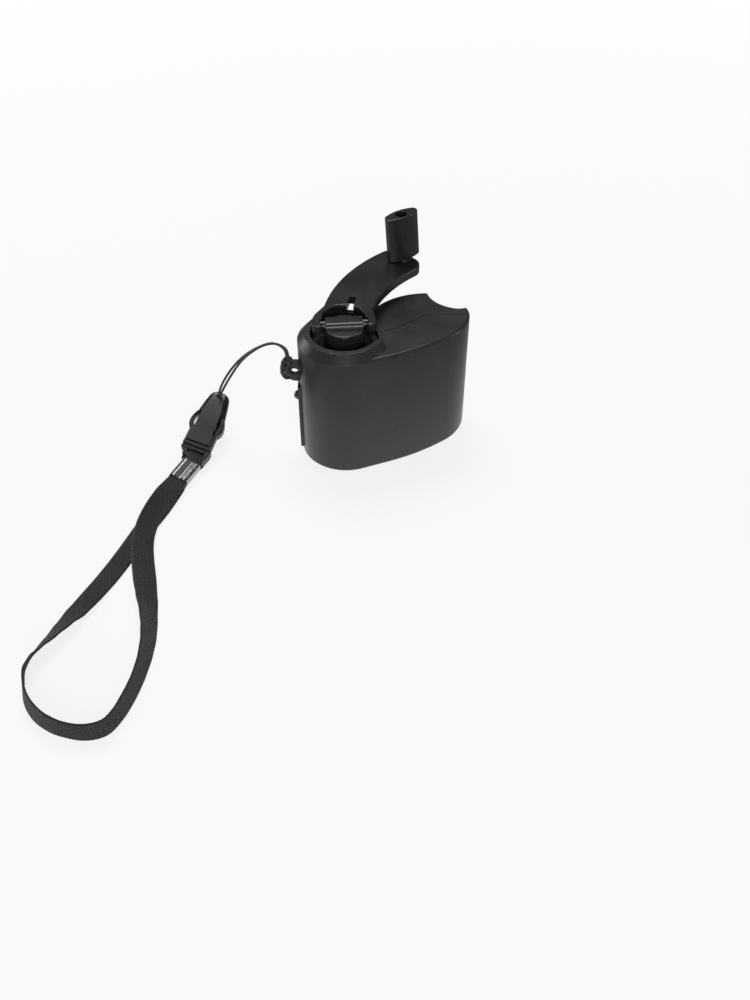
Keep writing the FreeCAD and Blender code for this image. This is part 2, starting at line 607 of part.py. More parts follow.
cap_disc = pillar("cap_disc", "can_radius - running_gap", "cap_thickness", ROTOR_AXIS,
                  can_floor - size("cap_thickness"))
cap_boss = pillar("cap_boss", "can_boss_radius", "cap_boss_height", ROTOR_AXIS,
                  can_floor - size("cap_thickness") - size("cap_boss_height"))
cap_hole = pillar("cap_hole", "rotor_shaft_radius + running_gap", "6", ROTOR_AXIS,
                  can_floor - size("cap_thickness") - size("cap_boss_height") / 2)
terminal_level = can_floor - size("cap_thickness") - size("terminal_length") / 2
terminals = [crate(f"terminal_{i}",
                   ROTOR_AXIS + Vector(-size("terminal_width") / 2, side * size("terminal_reach"), terminal_level),
                   "terminal_width", "terminal_skin", "terminal_length") for i, side in enumerate((-1, 1))]
generator_end_cap = cut("generator_end_cap", fuse("cap_solid", cap_disc, cap_boss, *terminals), cap_hole)

magnet_level = can_floor + size("magnet_foot")
magnet_length = can_length - size("magnet_foot") - size("magnet_head")
magnets = []
for i, start in enumerate((30, 210)):
    outer_arc = pillar(f"magnet_{i}_outer", "can_radius - can_skin", str(magnet_length), ROTOR_AXIS, magnet_level)
    inner_arc = pillar(f"magnet_{i}_inner", "can_radius - can_skin - magnet_thickness",
                       str(magnet_length + 2), ROTOR_AXIS, magnet_level - 1)
    for piece in (outer_arc, inner_arc):
        bind(piece, Angle=sized("magnet_angle"))
        piece.Placement = Placement(piece.Placement.Base, Rotation(Vector(0, 0, 1), start))
    magnets.append(cut(f"magnet_{i}", outer_arc, inner_arc))
generator_magnets = group("generator_magnets", *magnets)

shaft_foot = can_floor - size("cap_thickness") - size("cap_boss_height") / 2 + 0.1
rotor_top = second_level + size("gear_width") + size("gear_level_gap") / 2
rotor_shaft = pillar("rotor_shaft", "rotor_shaft_radius", str(rotor_top - shaft_foot), ROTOR_AXIS, shaft_foot)
armature_level = can_floor + size("armature_foot")
armature_length = can_length - size("armature_foot") - size("armature_head")
armature_drum = pillar("armature_drum", "can_radius - can_skin - magnet_thickness - air_gap",
                       str(armature_length), ROTOR_AXIS, armature_level)
armature_bore = pillar("armature_bore", "rotor_shaft_radius", str(armature_length + 2), ROTOR_AXIS,
                       armature_level - 1)
slots = []
for i in range(3):
    turn = Rotation(Vector(0, 0, 1), 120 * i)
    slot = crate(f"armature_slot_{i}", Vector(), "can_radius", "armature_slot", str(armature_length + 2))
    reach = turn.multVec(Vector(size("armature_core"), -size("armature_slot") / 2, 0))
    slot.Placement = Placement(ROTOR_AXIS + reach + Vector(0, 0, armature_level - 1), turn)
    slots.append(slot)
armature = cut("armature", armature_drum, armature_bore, *slots)
rotor_pinion = cut("rotor_pinion",
                   gear("rotor_blank", "rotor_pinion_teeth", rotor_phase, "gear_width",
                        second_level, ROTOR_AXIS),
                   pillar("rotor_bore", "rotor_shaft_radius", "8", ROTOR_AXIS, second_level - 2))

# ---------------------------------------------------------------- crank hub, bush and clip
recess_level = size("case_height") - size("recess_depth")
bush_flange = pillar("bush_flange", "bush_flange_radius", "bush_flange", CRANK_AXIS, recess_level)
bush_barrel = pillar("bush_barrel", "bush_radius", "bush_depth + bush_flange", CRANK_AXIS,
                     recess_level - size("bush_depth"))
bush_bore = pillar("bush_bore", "shaft_radius + running_gap", "12", CRANK_AXIS, recess_level - 6)
hub_bush = cut("hub_bush", fuse("bush_solid", bush_flange, bush_barrel), bush_bore)

HINGE_TURN = Rotation(Vector(0, 0, 1), size("hinge_angle"))
arm_half = size("arm_thickness") / 2
hinge_level = size("case_height") + size("ring_height") + size("arm_clearance") + arm_half


def hinged(thing, x=0.0, y=0.0, z=0.0, turned="Z"):
    """Set a piece in the hinge's frame: x along the pin, z up from the pin's axis."""
    frame = Placement(Vector(0, 0, hinge_level), HINGE_TURN)
    thing.Placement = frame * Placement(Vector(x, y, z), TURNS[turned])
    return thing


def across(name, radius, start, end):
    """A cylinder along the hinge pin between two distances from the crank's axis."""
    thing = doc.addObject("Part::Cylinder", name)
    bind(thing, Radius=sized(radius), Height=sized(f"{end} - ({start})"))
    return hinged(thing, x=start, turned="X")


def block_outline():
    """Hinge block seen along the pin: flat top flush with the arm, one soft upper edge."""
    near_side, far_side, soft = -size("block_near"), size("block_far"), size("block_round")
    foot = arm_half - size("hub_drop") - 1
    line = Outline(Vector(near_side, foot, 0), 0)
    line.line_to(Vector(far_side, foot, 0)).line_to(Vector(far_side, arm_half, 0))
    line.line_to(Vector(near_side + soft, arm_half, 0)).arc(soft, 90)
    return line.close().edges


hub_bottom = recess_level + size("bush_flange") + size("hub_gap")
hub_height = hinge_level + arm_half - size("hub_drop") - hub_bottom
shaft_step = drive_level + size("gear_level_gap")
hub_disc = padded("hub_disc", [circle(0, 0, size("hub_radius"))], str(hub_height))
rounded(hub_disc, "hub_rounding", hub_height, "hub_edge")
seated(hub_disc, CRANK_AXIS, hub_bottom)
hub_block = hinged(padded("hub_block", [block_outline()], "block_length", "-block_length / 2", "YZ_Plane"))
hub_shaft = pillar("hub_shaft", "shaft_radius", str(hub_bottom - shaft_step), CRANK_AXIS, shaft_step)
pivot_foot = frame_level - size("clip_thickness") - 3 * size("gear_float")
hub_pivot = pillar("hub_pivot", "pivot_radius", str(shaft_step - pivot_foot), CRANK_AXIS, pivot_foot)
boss_reach = size("boss_length") / 2
hub_bosses = across("hub_bosses", "arm_thickness / 2", -boss_reach, boss_reach)
hub_bore = across("hub_bore", "pin_radius + running_gap", -boss_reach - 1, boss_reach + 1)
crank_hub = cut("crank_hub", fuse("hub_solid", hub_disc, hub_shaft, hub_pivot, hub_block, hub_bosses), hub_bore)
hub_clips = group("hub_clips",
                  washer("gear_clip", "shaft_radius + 0.6", "pivot_radius", "clip_thickness", CRANK_AXIS,
                         shaft_step - size("clip_thickness")),
                  washer("pivot_clip", "shaft_radius + 0.4", "pivot_radius", "clip_thickness", CRANK_AXIS,
                         frame_level - size("clip_thickness") - size("gear_float")))

# ---------------------------------------------------------------- crank arm, hinge pin, knob and spindle
KNOB_PLACE = unit(90 - size("arm_lean")) * size("arm_reach")


def arm_outline():
    """Sickle in the hinge's frame: right ear, neck, bowed blade, rounded end, left ear, window."""
    root, side, rise = size("arm_root_radius"), -size("ear_side"), size("ear_rise")
    window, middle = size("arm_window_radius"), size("arm_window_reach")
    ear_x = math.sqrt(root ** 2 - side ** 2)
    ear_turn = math.degrees(math.atan2(side, ear_x))
    right, left = size("arm_root_right"), size("arm_root_left")
    corner, end_heading = size("arm_corner_radius"), size("arm_end_heading")
    across_end = unit(end_heading - 90) * (size("arm_end_width") / 2)
    line = Outline(Vector(ear_x, side, 0), 90 + ear_turn)
    line.arc(root, right - ear_turn)
    line.line_to(Vector(size("arm_notch_x"), size("arm_notch_y"), 0))
    line.bow_to(KNOB_PLACE + across_end - unit(end_heading) * (corner / 2), -size("arm_inner_bow"))
    line.heading = end_heading
    line.arc(corner, 90).line(size("arm_end_width") - 2 * corner).arc(corner, 90)
    line.bow_to(Vector(-size("arm_neck_x"), size("arm_neck_y"), 0), size("arm_bow"))
    line.line_to(unit(left) * root)
    line.heading = left + 90
    line.arc(root, 180 - ear_turn - left)
    line.bow_to(Vector(-window, side, 0), rise).line_to(Vector(-window, middle, 0))
    line.heading = 90
    line.arc(window, -180)
    line.line_to(Vector(window, side, 0)).bow_to(line.start, rise)
    return line.edges


def slot_outline():
    """Narrow slot that leaves the window and points along the blade."""
    turn = Rotation(Vector(0, 0, 1), size("slot_lean"))
    half, near_end = size("slot_width") / 2, size("arm_window_radius")
    far_end = size("slot_end")
    return polygon([turn.multVec(Vector(x, y, 0)) for x, y in
                    ((-half, near_end), (half, near_end), (half, far_end), (-half, far_end))])


arm_blank = padded("arm_blank", [arm_outline()], "arm_thickness")
rounded(arm_blank, "arm_rounding", size("arm_thickness"), "arm_edge")
slot_bar = padded("slot_bar", [slot_outline()], "arm_thickness + 2", "-1")
for thing in (arm_blank, slot_bar):
    hinged(thing, z=-arm_half)
pocket_reach = boss_reach + size("pocket_gap")
pockets = across("pockets", "pocket_radius", -pocket_reach, pocket_reach)
LEAN = Rotation(Vector(0, 1, 0), -size("knob_lean"))
knob_base = HINGE_TURN.multVec(KNOB_PLACE) + Vector(0, 0, hinge_level)


def leaning(thing, along, turn=0.0):
    """Stand a piece on the knob's axis, at a distance from the arm's mid plane."""
    thing.Placement = Placement(knob_base + LEAN.multVec(Vector(0, 0, along)),
                                LEAN * Rotation(Vector(0, 0, 1), turn))
    return thing


def spindle_rod(name, radius, length, along):
    thing = doc.addObject("Part::Cylinder", name)
    bind(thing, Radius=sized(radius), Height=sized(length))
    return leaning(thing, along)


spindle_hole = spindle_rod("spindle_hole", "spindle_radius", "4 * arm_thickness", -2 * size("arm_thickness"))
arm_pad = spindle_rod("arm_pad", "spindle_radius + knob_pad", "knob_gap + 0.5", arm_half - 0.4)
pin_reach = math.sqrt(size("arm_root_radius") ** 2 - size("pin_radius") ** 2) - 0.3
pin_hole = across("pin_hole", "pin_radius", -size("arm_root_radius") - 1, size("arm_root_radius") + 1)
crank_arm = cut("crank_arm", fuse("arm_solid", cut("arm_plate", arm_blank, slot_bar, pockets), arm_pad),
                pin_hole, spindle_hole)
hinge_pin = across("hinge_pin", "pin_radius", -pin_reach, pin_reach)


def knob_outline():
    """Lens section round the spindle: one narrow facet at its outer end, a rounded inner end."""
    half_facet, lean = size("knob_facet") / 2, size("knob_facet_lean")
    facet_top = Vector(lean - size("knob_reach"), half_facet, 0)
    end_x, half_end, shift = size("knob_end_reach"), size("knob_end_width") / 2, size("knob_end_shift")
    line = Outline(facet_top, -90)
    line.line_to(Vector(-lean - size("knob_reach"), -half_facet, 0))
    line.bow_to(Vector(end_x, shift - half_end, 0), size("knob_near_bow"))
    line.bow_to(Vector(end_x, shift + half_end, 0), size("knob_end_bow"))
    line.bow_to(facet_top, size("knob_far_bow"))
    return line.edges


knob_start = arm_half + size("knob_gap") + size("spindle_seat")
knob_body = padded("knob_body", [knob_outline()], "knob_height")
rounded(knob_body, "knob_rounding", size("knob_height"), "knob_edge")
leaning(knob_body, knob_start, size("knob_turn"))
seat_height = size("knob_height") - size("knob_bore_depth")
knob_bore = spindle_rod("knob_bore", "spindle_radius + running_gap", "knob_height + 2", knob_start - 1)
knob_well = spindle_rod("knob_well", "knob_bore_radius", "knob_bore_depth + 1", knob_start + seat_height)
crank_knob = cut("crank_knob", knob_body, knob_bore, knob_well)
spindle_top = knob_start + seat_height + size("spindle_seat")
spindle_shank = spindle_rod("spindle_shank", "spindle_radius", str(spindle_top + size("spindle_foot")),
                            -size("spindle_foot"))
spindle_head = spindle_rod("spindle_head", "spindle_head_radius", "spindle_head_height", spindle_top)
knob_spindle = fuse("knob_spindle", spindle_shank, spindle_head)

# ---------------------------------------------------------------- circuit board and what it carries
board_face = -size("port_width") / 2
panel_face = -size("hub_end_radius") - size("panel_rise")
port_front = panel_face - size("port_projection")
port_bottom = size("port_middle") - size("port_height") / 2
board_back = board_face - size("board_thickness")
board_left = panel_face + size("port_wall") + 0.3
board_height = frame_level - size("board_headroom") - size("board_bottom")
board_top = size("board_bottom") + board_height


circuit_board = crate("circuit_board", Vector(board_left, board_back, size("board_bottom")),
                      "board_width", "board_thickness", str(board_height))
shell_block = crate("shell_block", Vector(port_front, board_face, port_bottom),
                    "port_length", "port_width", "port_height")
shell_room = crate("shell_room", Vector(port_front - 1, board_face + size("port_skin"),
                                        port_bottom + size("port_skin")),
                   "port_length + 2", "port_width - 2 * port_skin", "port_height - 2 * port_skin")
usb_shell = cut("usb_shell", shell_block, shell_room)
port_back = port_front + size("port_length")
tongue_low = size("port_middle") - size("tongue_height") / 2
tongue_y = board_face + size("port_skin") + 0.9
tongue_front = port_back - size("tongue_length") - 1.2
tongue_blade = crate("tongue_blade", Vector(tongue_front, tongue_y, tongue_low),
                     "tongue_length", "tongue_thickness", "tongue_height")
tongue_base = crate("tongue_base", Vector(port_back - 1.6, board_face + size("port_skin"),
                                          port_bottom + size("port_skin")),
                    "1.6", "port_width - 2 * port_skin", "port_height - 2 * port_skin")
usb_tongue = fuse("usb_tongue", tongue_blade, tongue_base)
usb_contacts = group("usb_contacts", *[
    crate(f"contact_{i}", Vector(tongue_front + 0.4, tongue_y + size("tongue_thickness"),
                                 size("port_middle") + size("contact_pitch") * (i - 1.5) - size("contact_width") / 2),
          "contact_length", "contact_thickness", "contact_width") for i in range(4)])
lamp_back = panel_face + size("port_wall") + 0.02
lamp_collar = rod("lamp_collar", "lamp_collar", "0.8", str(lamp_back), "0", "lamp_height", "X")
lamp_barrel = rod("lamp_barrel", "lamp_radius", "lamp_length", str(lamp_back - size("lamp_length")), "0",
                  "lamp_height", "X")
lamp_dome = ball("lamp_dome", "lamp_radius", str(lamp_back - size("lamp_length")), "0", "lamp_height")
lamp_legs = [crate(f"lamp_leg_{i}", Vector(lamp_back + 0.8, board_face, size("lamp_height") + side - 0.25),
                   "0.5", str(-board_face + 0.5), "0.5") for i, side in enumerate((-1.0, 1.0))]
status_lamp = fuse("status_lamp", lamp_collar, lamp_barrel, lamp_dome, *lamp_legs)
smoothing_capacitor = rod("smoothing_capacitor", "capacitor_radius", "capacitor_length",
                          "capacitor_x", str(board_back - size("capacitor_length")), "capacitor_z", "Y")
rectifier_diodes = group("rectifier_diodes", *[
    rod(f"diode_{i}", "diode_radius", "diode_length", f"diode_x + diode_pitch * {i % 2}",
        str(board_back - size("diode_radius")), f"diode_z + diode_rise * {i // 2}") for i in range(4)])
regulator_chip = crate("regulator_chip",
                       Vector(size("chip_x"), board_back - size("chip_thickness"), size("chip_z")),
                       "chip_width", "chip_thickness", "chip_width")
choke_level = str(board_top - size("choke_drop"))
choke_ring = rod("choke_ring", "choke_radius", "choke_thickness", "choke_x",
                 str(board_back - size("choke_thickness")), choke_level, "Y")
choke_hole = rod("choke_hole", "choke_hole", "choke_thickness + 2", "choke_x",
                 str(board_back - size("choke_thickness") - 1), choke_level, "Y")
filter_choke = cut("filter_choke", choke_ring, choke_hole)
board_ribs = [crate(f"board_rib_{i}", Vector(size("rib_x"), size("rib_foot"), level),
                    "rib_width", str(board_back - size("rib_foot")), "rib_width")
              for i, level in enumerate((size("rib_low"), board_top - size("rib_high")))]

front_shell = cut("front_shell", fuse("front_solid", front_half, front_post, *frame_posts, *board_ribs), pilot)
rear_shell = cut("rear_shell", fuse("rear_solid", cut("rear_open", rear_half, screw_well), rear_post),
                 screw_well, screw_way)

# ---------------------------------------------------------------- lanyard: buckle
BUCKLE = Placement(Vector(-46.1, 11.3, 13.65),
                   Rotation(Vector(0, 0, 1), size("buckle_heading") - 90)
                   * Rotation(Vector(1, 0, 0), size("buckle_pitch"))
                   * Rotation(Vector(0, 1, 0), size("buckle_roll")))
CRIMP = BUCKLE * Placement(Vector(0, -size("bar_reach"), 0), Rotation(Vector(1, 0, 0), -size("crimp_dip")))


def held(thing, frame=BUCKLE):
    """Move a piece from the frame of the buckle or the crimp to the world."""
    thing.Placement = frame * thing.Placement
    return thing


def slab(name, half_width, top, length, thickness):
    """A box across the buckle, centred on its axis; top is the end nearer to the string."""
    width = 2 * half_width
    return held(crate(name, Vector(-half_width, top - length, -thickness / 2), str(width), str(length),
                      str(thickness)))


def plan_outline():
    """Socket seen from above: straight collar, taper to the string end with round corners."""
    wide, narrow = size("socket_width") / 2, size("socket_end_width") / 2
    line = Outline(Vector(wide, -size("socket_length"), 0), 90)
    line.line_to(Vector(wide, -10, 0))
    line.line_to(Vector(narrow, -1.7, 0))
    left = 180 - line.heading
    line.arc(size("socket_corner"), left)
    line.line(2 * line.at.x)
    line.arc(size("socket_corner"), left)
    line.line_to(Vector(-wide, -10, 0))
    line.line_to(Vector(-wide, -size("socket_length"), 0))
    return line.close().edges


def side_profile():
    """Socket seen from the side, drawn as distance from its string end against half thickness."""
    thick, thin = size("socket_thickness") / 2, size("socket_end_thickness") / 2
    long = size("socket_length")
    return polygon([Vector(x, y, 0) for x, y in ((-long, -thick), (-9, -thick), (1, -thin), (1, thin),
                                                 (-9, thick), (-long, thick))])


def bevel_profile():
    wide, thick, bevel = size("socket_width") / 2, size("socket_thickness") / 2, size("socket_bevel")
    corners = ((wide, thick - bevel), (wide - bevel, thick), (bevel - wide, thick), (-wide, thick - bevel),
               (-wide, bevel - thick), (bevel - wide, -thick), (wide - bevel, -thick), (wide, bevel - thick))
    return polygon([Vector(x, y, 0) for x, y in corners])


socket_plan = padded("socket_plan", [plan_outline()], "socket_thickness", "-socket_thickness / 2")
socket_side = padded("socket_side", [side_profile()], "socket_width", "-socket_width / 2")
socket_side.Placement = Placement(Vector(), Rotation(Vector(0, 0, 1), 90) * Rotation(Vector(1, 0, 0), 90))
socket_round = padded("socket_round", [bevel_profile()], "socket_length + 2", "-1")
socket_round.Placement = Placement(Vector(), Rotation(Vector(1, 0, 0), 90))
socket_blank = both("socket_blank", both("socket_taper", held(socket_plan), held(socket_side)),
                    held(socket_round))
room_bottom = size("socket_length") + 1
window_length = size("socket_length") - size("socket_collar") - size("window_top")
tongue_room = slab("tongue_room", size("tongue_room_width") / 2, -size("window_top") - 0.4,
                   room_bottom - size("window_top"), size("tongue_room_height"))
side_windows = []
for name, side in (("left_window", -1), ("right_window", 1)):
    corner_x = size("panel_width") / 2 if side > 0 else -size("panel_width") / 2 - 4
    side_windows.append(held(crate(name, Vector(corner_x, -size("window_top") - window_length, -4),
                                   "4", str(window_length), "8")))
string_hole = held(pillar("string_hole", "string_hole", "8", Vector(0, -size("string_hole_place"), 0), 0.4))
buckle_socket = cut("buckle_socket", socket_blank, tongue_room, *side_windows, string_hole)

# ---------------------------------------------------------------- lanyard: plug with its two sprung wings
def wing_outline(side):
    points = ((2.5, -22.2), (3.7, -22.2), (3.8, -17.8), (6.0, -15.2), (6.3, -12.8), (5.4, -10.2), (4.1, -9.1),
              (3.6, -9.9), (4.7, -10.9), (5.0, -13.0), (4.8, -14.7), (2.5, -18.2))
    return polygon([Vector(side * x, y, 0) for x, y in points])


socket_end = -size("socket_length")
wing_height = size("tongue_room_height") - 2 * size("plug_fit")
wings = [held(padded(name, [wing_outline(side)], str(wing_height), str(-wing_height / 2)))
         for name, side in (("left_wing", -1), ("right_wing", 1))]
middle_tongue = slab("middle_tongue", 1.2, socket_end + 8, 8.5, 1.8)
flange = slab("flange", size("plug_width") / 2, socket_end, size("plug_flange"), 5.2)
step = slab("step", size("plug_width") / 2 - 0.6, socket_end - size("plug_flange"), size("plug_step") + 0.1, 4.0)
cheek_top = -size("socket_length") - size("plug_flange") - size("plug_step")
cheeks = [held(crate(name, Vector(x, -size("bar_reach") - 1.2, -1.5), "cheek_width",
                     str(size("bar_reach") + 1.2 + cheek_top + 0.1), "3"))
          for name, x in (("left_cheek", -size("plug_width") / 2),
                          ("right_cheek", size("plug_width") / 2 - size("cheek_width")))]
strap_bar = held(pillar("strap_bar", "bar_radius", "plug_width - cheek_width",
                        Vector((size("cheek_width") - size("plug_width")) / 2, -size("bar_reach"), 0), 0, "X"))
buckle_plug = fuse("buckle_plug", *wings, middle_tongue, flange, step, *cheeks, strap_bar)

# ---------------------------------------------------------------- lanyard: webbing loop and crimp
def loop_outline():
    """Side view of the webbing folded round the bar; the bar's axis is at the start of the frame."""
    inner = size("bar_radius") + 0.1
    outer = inner + size("webbing_thickness")
    far = -size("tab_length")
    line = [Part.Arc(Vector(0, -outer, 0), Vector(outer, 0, 0), Vector(0, outer, 0)),
            Part.LineSegment(Vector(0, outer, 0), Vector(far, outer, 0)),
            Part.LineSegment(Vector(far, outer, 0), Vector(far, inner, 0)),
            Part.LineSegment(Vector(far, inner, 0), Vector(0, inner, 0)),
            Part.Arc(Vector(0, inner, 0), Vector(inner, 0, 0), Vector(0, -inner, 0)),
            Part.LineSegment(Vector(0, -inner, 0), Vector(far, -inner, 0)),
            Part.LineSegment(Vector(far, -inner, 0), Vector(far, -outer, 0)),
            Part.LineSegment(Vector(far, -outer, 0), Vector(0, -outer, 0))]
    return line


strap_tab = padded("strap_tab", [loop_outline()], "webbing_width", "-webbing_width / 2")
strap_tab.Placement = CRIMP * Placement(Vector(), Rotation(Vector(0, 0, 1), 90) * Rotation(Vector(1, 0, 0), 90))


def crimp_box(name, inset, longer):
    """A box round the webbing, smaller than the crimp by the inset and longer by a bit."""
    width, thick = size("crimp_width") - 2 * inset, size("crimp_thickness") - 2 * inset
    corner = Vector(-width / 2, -size("crimp_start") - size("crimp_length") - longer, -thick / 2)
    return held(crate(name, corner, str(width), str(size("crimp_length") + 2 * longer), str(thick)), CRIMP)


crimp_ridges = [held(pillar(f"crimp_ridge_{i}", "crimp_ridge", "crimp_length",
                            Vector(x, -size("crimp_start") - size("crimp_length"), 0),
                            size("crimp_thickness") / 2 - 0.1, "Y"), CRIMP)
                for i, x in enumerate((-1.6, 0.4, 2.4))]
strap_crimp = cut("strap_crimp", fuse("crimp_solid", crimp_box("crimp_outer", 0, 0), *crimp_ridges),
                  crimp_box("crimp_room", size("crimp_skin"), 1))


# ---------------------------------------------------------------- cords
def rounded_route(points):
    """Straight runs joined by tangent arcs: the edges and the radius of each bend."""
    legs = [after - before for before, after in zip(points, points[1:])]
    edges, radii, start = [], [], points[0]
    for before, corner, after in zip(legs, points[1:], legs[1:]):
        half_turn = before.getAngle(after) / 2
        trim = 0.45 * min(before.Length, after.Length)
        radius = trim / math.tan(half_turn)
        ahead, behind = Vector(after).normalize(), Vector(before).normalize()
        middle = corner + (ahead - behind).normalize() * (radius / math.cos(half_turn) - radius)
        into, out = corner - behind * trim, corner + ahead * trim
        edges += [Part.LineSegment(start, into).toShape(), Part.Arc(into, middle, out).toShape()]
        radii.append(radius)
        start = out
    edges.append(Part.LineSegment(start, points[-1]).toShape())
    return edges, radii


def cord(name, points, diameter_alias):
    """A tube along a rounded route; prints its length, its bends and its volume against the section."""
    edges, radii = rounded_route(points)
    path = Part.Wire(edges)
    radius = size(diameter_alias) / 2
    ring = Part.Wire(Part.makeCircle(radius, points[0], points[1] - points[0]))
    tube = doc.addObject("Part::Feature", name)
    tube.Shape = path.makePipeShell([ring], True, False)
    share = tube.Shape.Volume / (math.pi * radius ** 2 * path.Length)
    print(f"{name}: length {path.Length:.1f}, volume share {share:.4f}, radii",
          " ".join(f"{r:.1f}" for r in radii))
    print("  route", [tuple(round(value, 2) for value in point) for point in points])
    return tube


# string: profile in the upright plane from the lanyard eye to the buckle, as (distance, height)
EYE_MIDDLE = Vector(-size("hub_end_radius") - size("eye_reach"), 0, size("eye_height"))
KNOT_UP = Vector(-0.643, 0, 0.766)
knot_outer = EYE_MIDDLE + KNOT_UP * size("knot_reach")
knot_inner = Vector(-size("hub_end_radius") - size("eye_hole_reach"), 0, size("eye_height")) \
    + KNOT_UP * size("knot_inset")
STRING_PROFILE = [(0, 37.8), (-0.3, 40.7), (2.4, 42.9), (7.6, 41.7), (12.9, 38.6), (18.0, 33.7), (22.4, 27.7),
                  (25.4, 21.9)]
STRING_TWIST = (0, 0, 0, 0, 15, 35, 55, 75)
string_ahead = Vector(-0.9506, 0.3104, 0)
string_aside = Vector(0.3104, 0.9506, 0)
buckle_aside = BUCKLE.Rotation.multVec(Vector(1, 0, 0))


def string_route(side):
    spread = side * size("string_spread")
    points = []
    for (along, height), twist in zip(STRING_PROFILE, STRING_TWIST):
        angle = math.radians(twist)
        offset = string_aside * math.cos(angle) - string_ahead * math.sin(angle)
        points.append(Vector(knot_outer.x, 0, height) + string_ahead * along + offset * spread)
    for height in (5.5, 1.1):
        points.append(BUCKLE.multVec(Vector(0, -size("string_hole_place"), height)) + buckle_aside * spread)
    return points


lanyard_string_left = cord("lanyard_string_left", string_route(1), "string_diameter")
lanyard_string_right = cord("lanyard_string_right", string_route(-1), "string_diameter")

side_step, near_side = Vector(0, size("knot_side"), 0), Vector(0, size("string_spread") + 0.1, 0)
hitch = cord("hitch", [knot_outer - near_side, knot_outer - side_step, knot_inner - side_step,
                       knot_inner + side_step, knot_outer + side_step, knot_outer + near_side],
             "string_diameter")
knot_ring = doc.addObject("Part::Torus", "knot_ring")
bind(knot_ring, Radius1="Sizes.knot_ring", Radius2="Sizes.string_diameter / 2")
knot_ring.Placement = Placement(knot_outer + Vector(0, 0, size("knot_ring_lift")), Rotation())
string_knot = fuse("string_knot", hitch, knot_ring)

# wrist strap: out of the crimp, over its own return, round the wrist loop and back
STRAP_LOOP = [(-63.2, -33.6, 4.6), (-65.2, -42.0, 5.35), (-65.7, -50.5, 5.35), (-64.6, -59.5, 3.9),
              (-62.6, -68.5, 1.9), (-60.0, -77.8, 1.72), (-57.9, -87.3, 1.72), (-57.0, -96.9, 1.72),
              (-57.9, -106.3, 2.2), (-60.0, -114.6, 3.2), (-62.0, -121.0, 3.5), (-63.8, -126.4, 3.5),
              (-69.0, -127.6, 3.5), (-74.6, -126.3, 3.5), (-82.0, -122.6, 3.5), (-87.6, -117.2, 3.5),
              (-90.9, -110.6, 3.4), (-91.2, -103.6, 2.9), (-87.9, -97.6, 2.2), (-84.2, -90.0, 1.72),
              (-79.9, -81.9, 1.72), (-75.7, -72.6, 1.72), (-72.0, -63.6, 1.72), (-69.0, -54.8, 1.72),
              (-65.9, -44.9, 1.72), (-60.4, -35.6, 1.8)]
grip = -size("crimp_start") - size("crimp_length") + size("strap_grip")
lead = -size("crimp_start") - size("crimp_length") - size("strap_lead")
left, right = -size("strap_offset"), size("strap_offset")
strap_route = [CRIMP.multVec(Vector(left, grip, 0)), CRIMP.multVec(Vector(left, lead, 0))]
strap_route += [Vector(*point) for point in STRAP_LOOP]
strap_route += [CRIMP.multVec(Vector(right, lead, 0)), CRIMP.multVec(Vector(right, grip, 0))]
wrist_strap = cord("wrist_strap", strap_route, "strap_diameter")

# ---------------------------------------------------------------- check and export
NODES = [front_shell, rear_shell, casing_screw, hub_bush, crank_hub, crank_arm, hinge_pin, crank_knob,
         knob_spindle, hub_clips, drive_gear, first_gear, second_gear, first_axle, second_axle, axle_clips,
         gear_frame, frame_screws, generator_screws, generator_can, generator_end_cap, generator_magnets,
         rotor_shaft, armature, rotor_pinion, circuit_board, usb_shell, usb_tongue, usb_contacts, status_lamp,
         smoothing_capacitor, rectifier_diodes, regulator_chip, filter_choke, string_knot,
         lanyard_string_left, lanyard_string_right, buckle_socket, buckle_plug, strap_tab, strap_crimp,
         wrist_strap]
doc.recompute()
faulty = [thing.Name for thing in doc.Objects if "Invalid" in thing.State or "Error" in thing.State]
faulty += [node.Name for node in NODES if node.Shape.isNull() or not node.Shape.isValid()]
if faulty:
    raise RuntimeError("not computed: " + ", ".join(faulty))
os.makedirs("parts", exist_ok=True)
for node in NODES:
    node.Label = node.Name
    node.Shape.exportStep(f"parts/{node.Name}.step")
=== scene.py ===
"""Looks for the hand crank phone charger: materials, cords, strap and the photograph's view.

Everything is in metres in the CAD frame: +X to the right of the picture, +Y away, +Z up.
"""
import json
import math

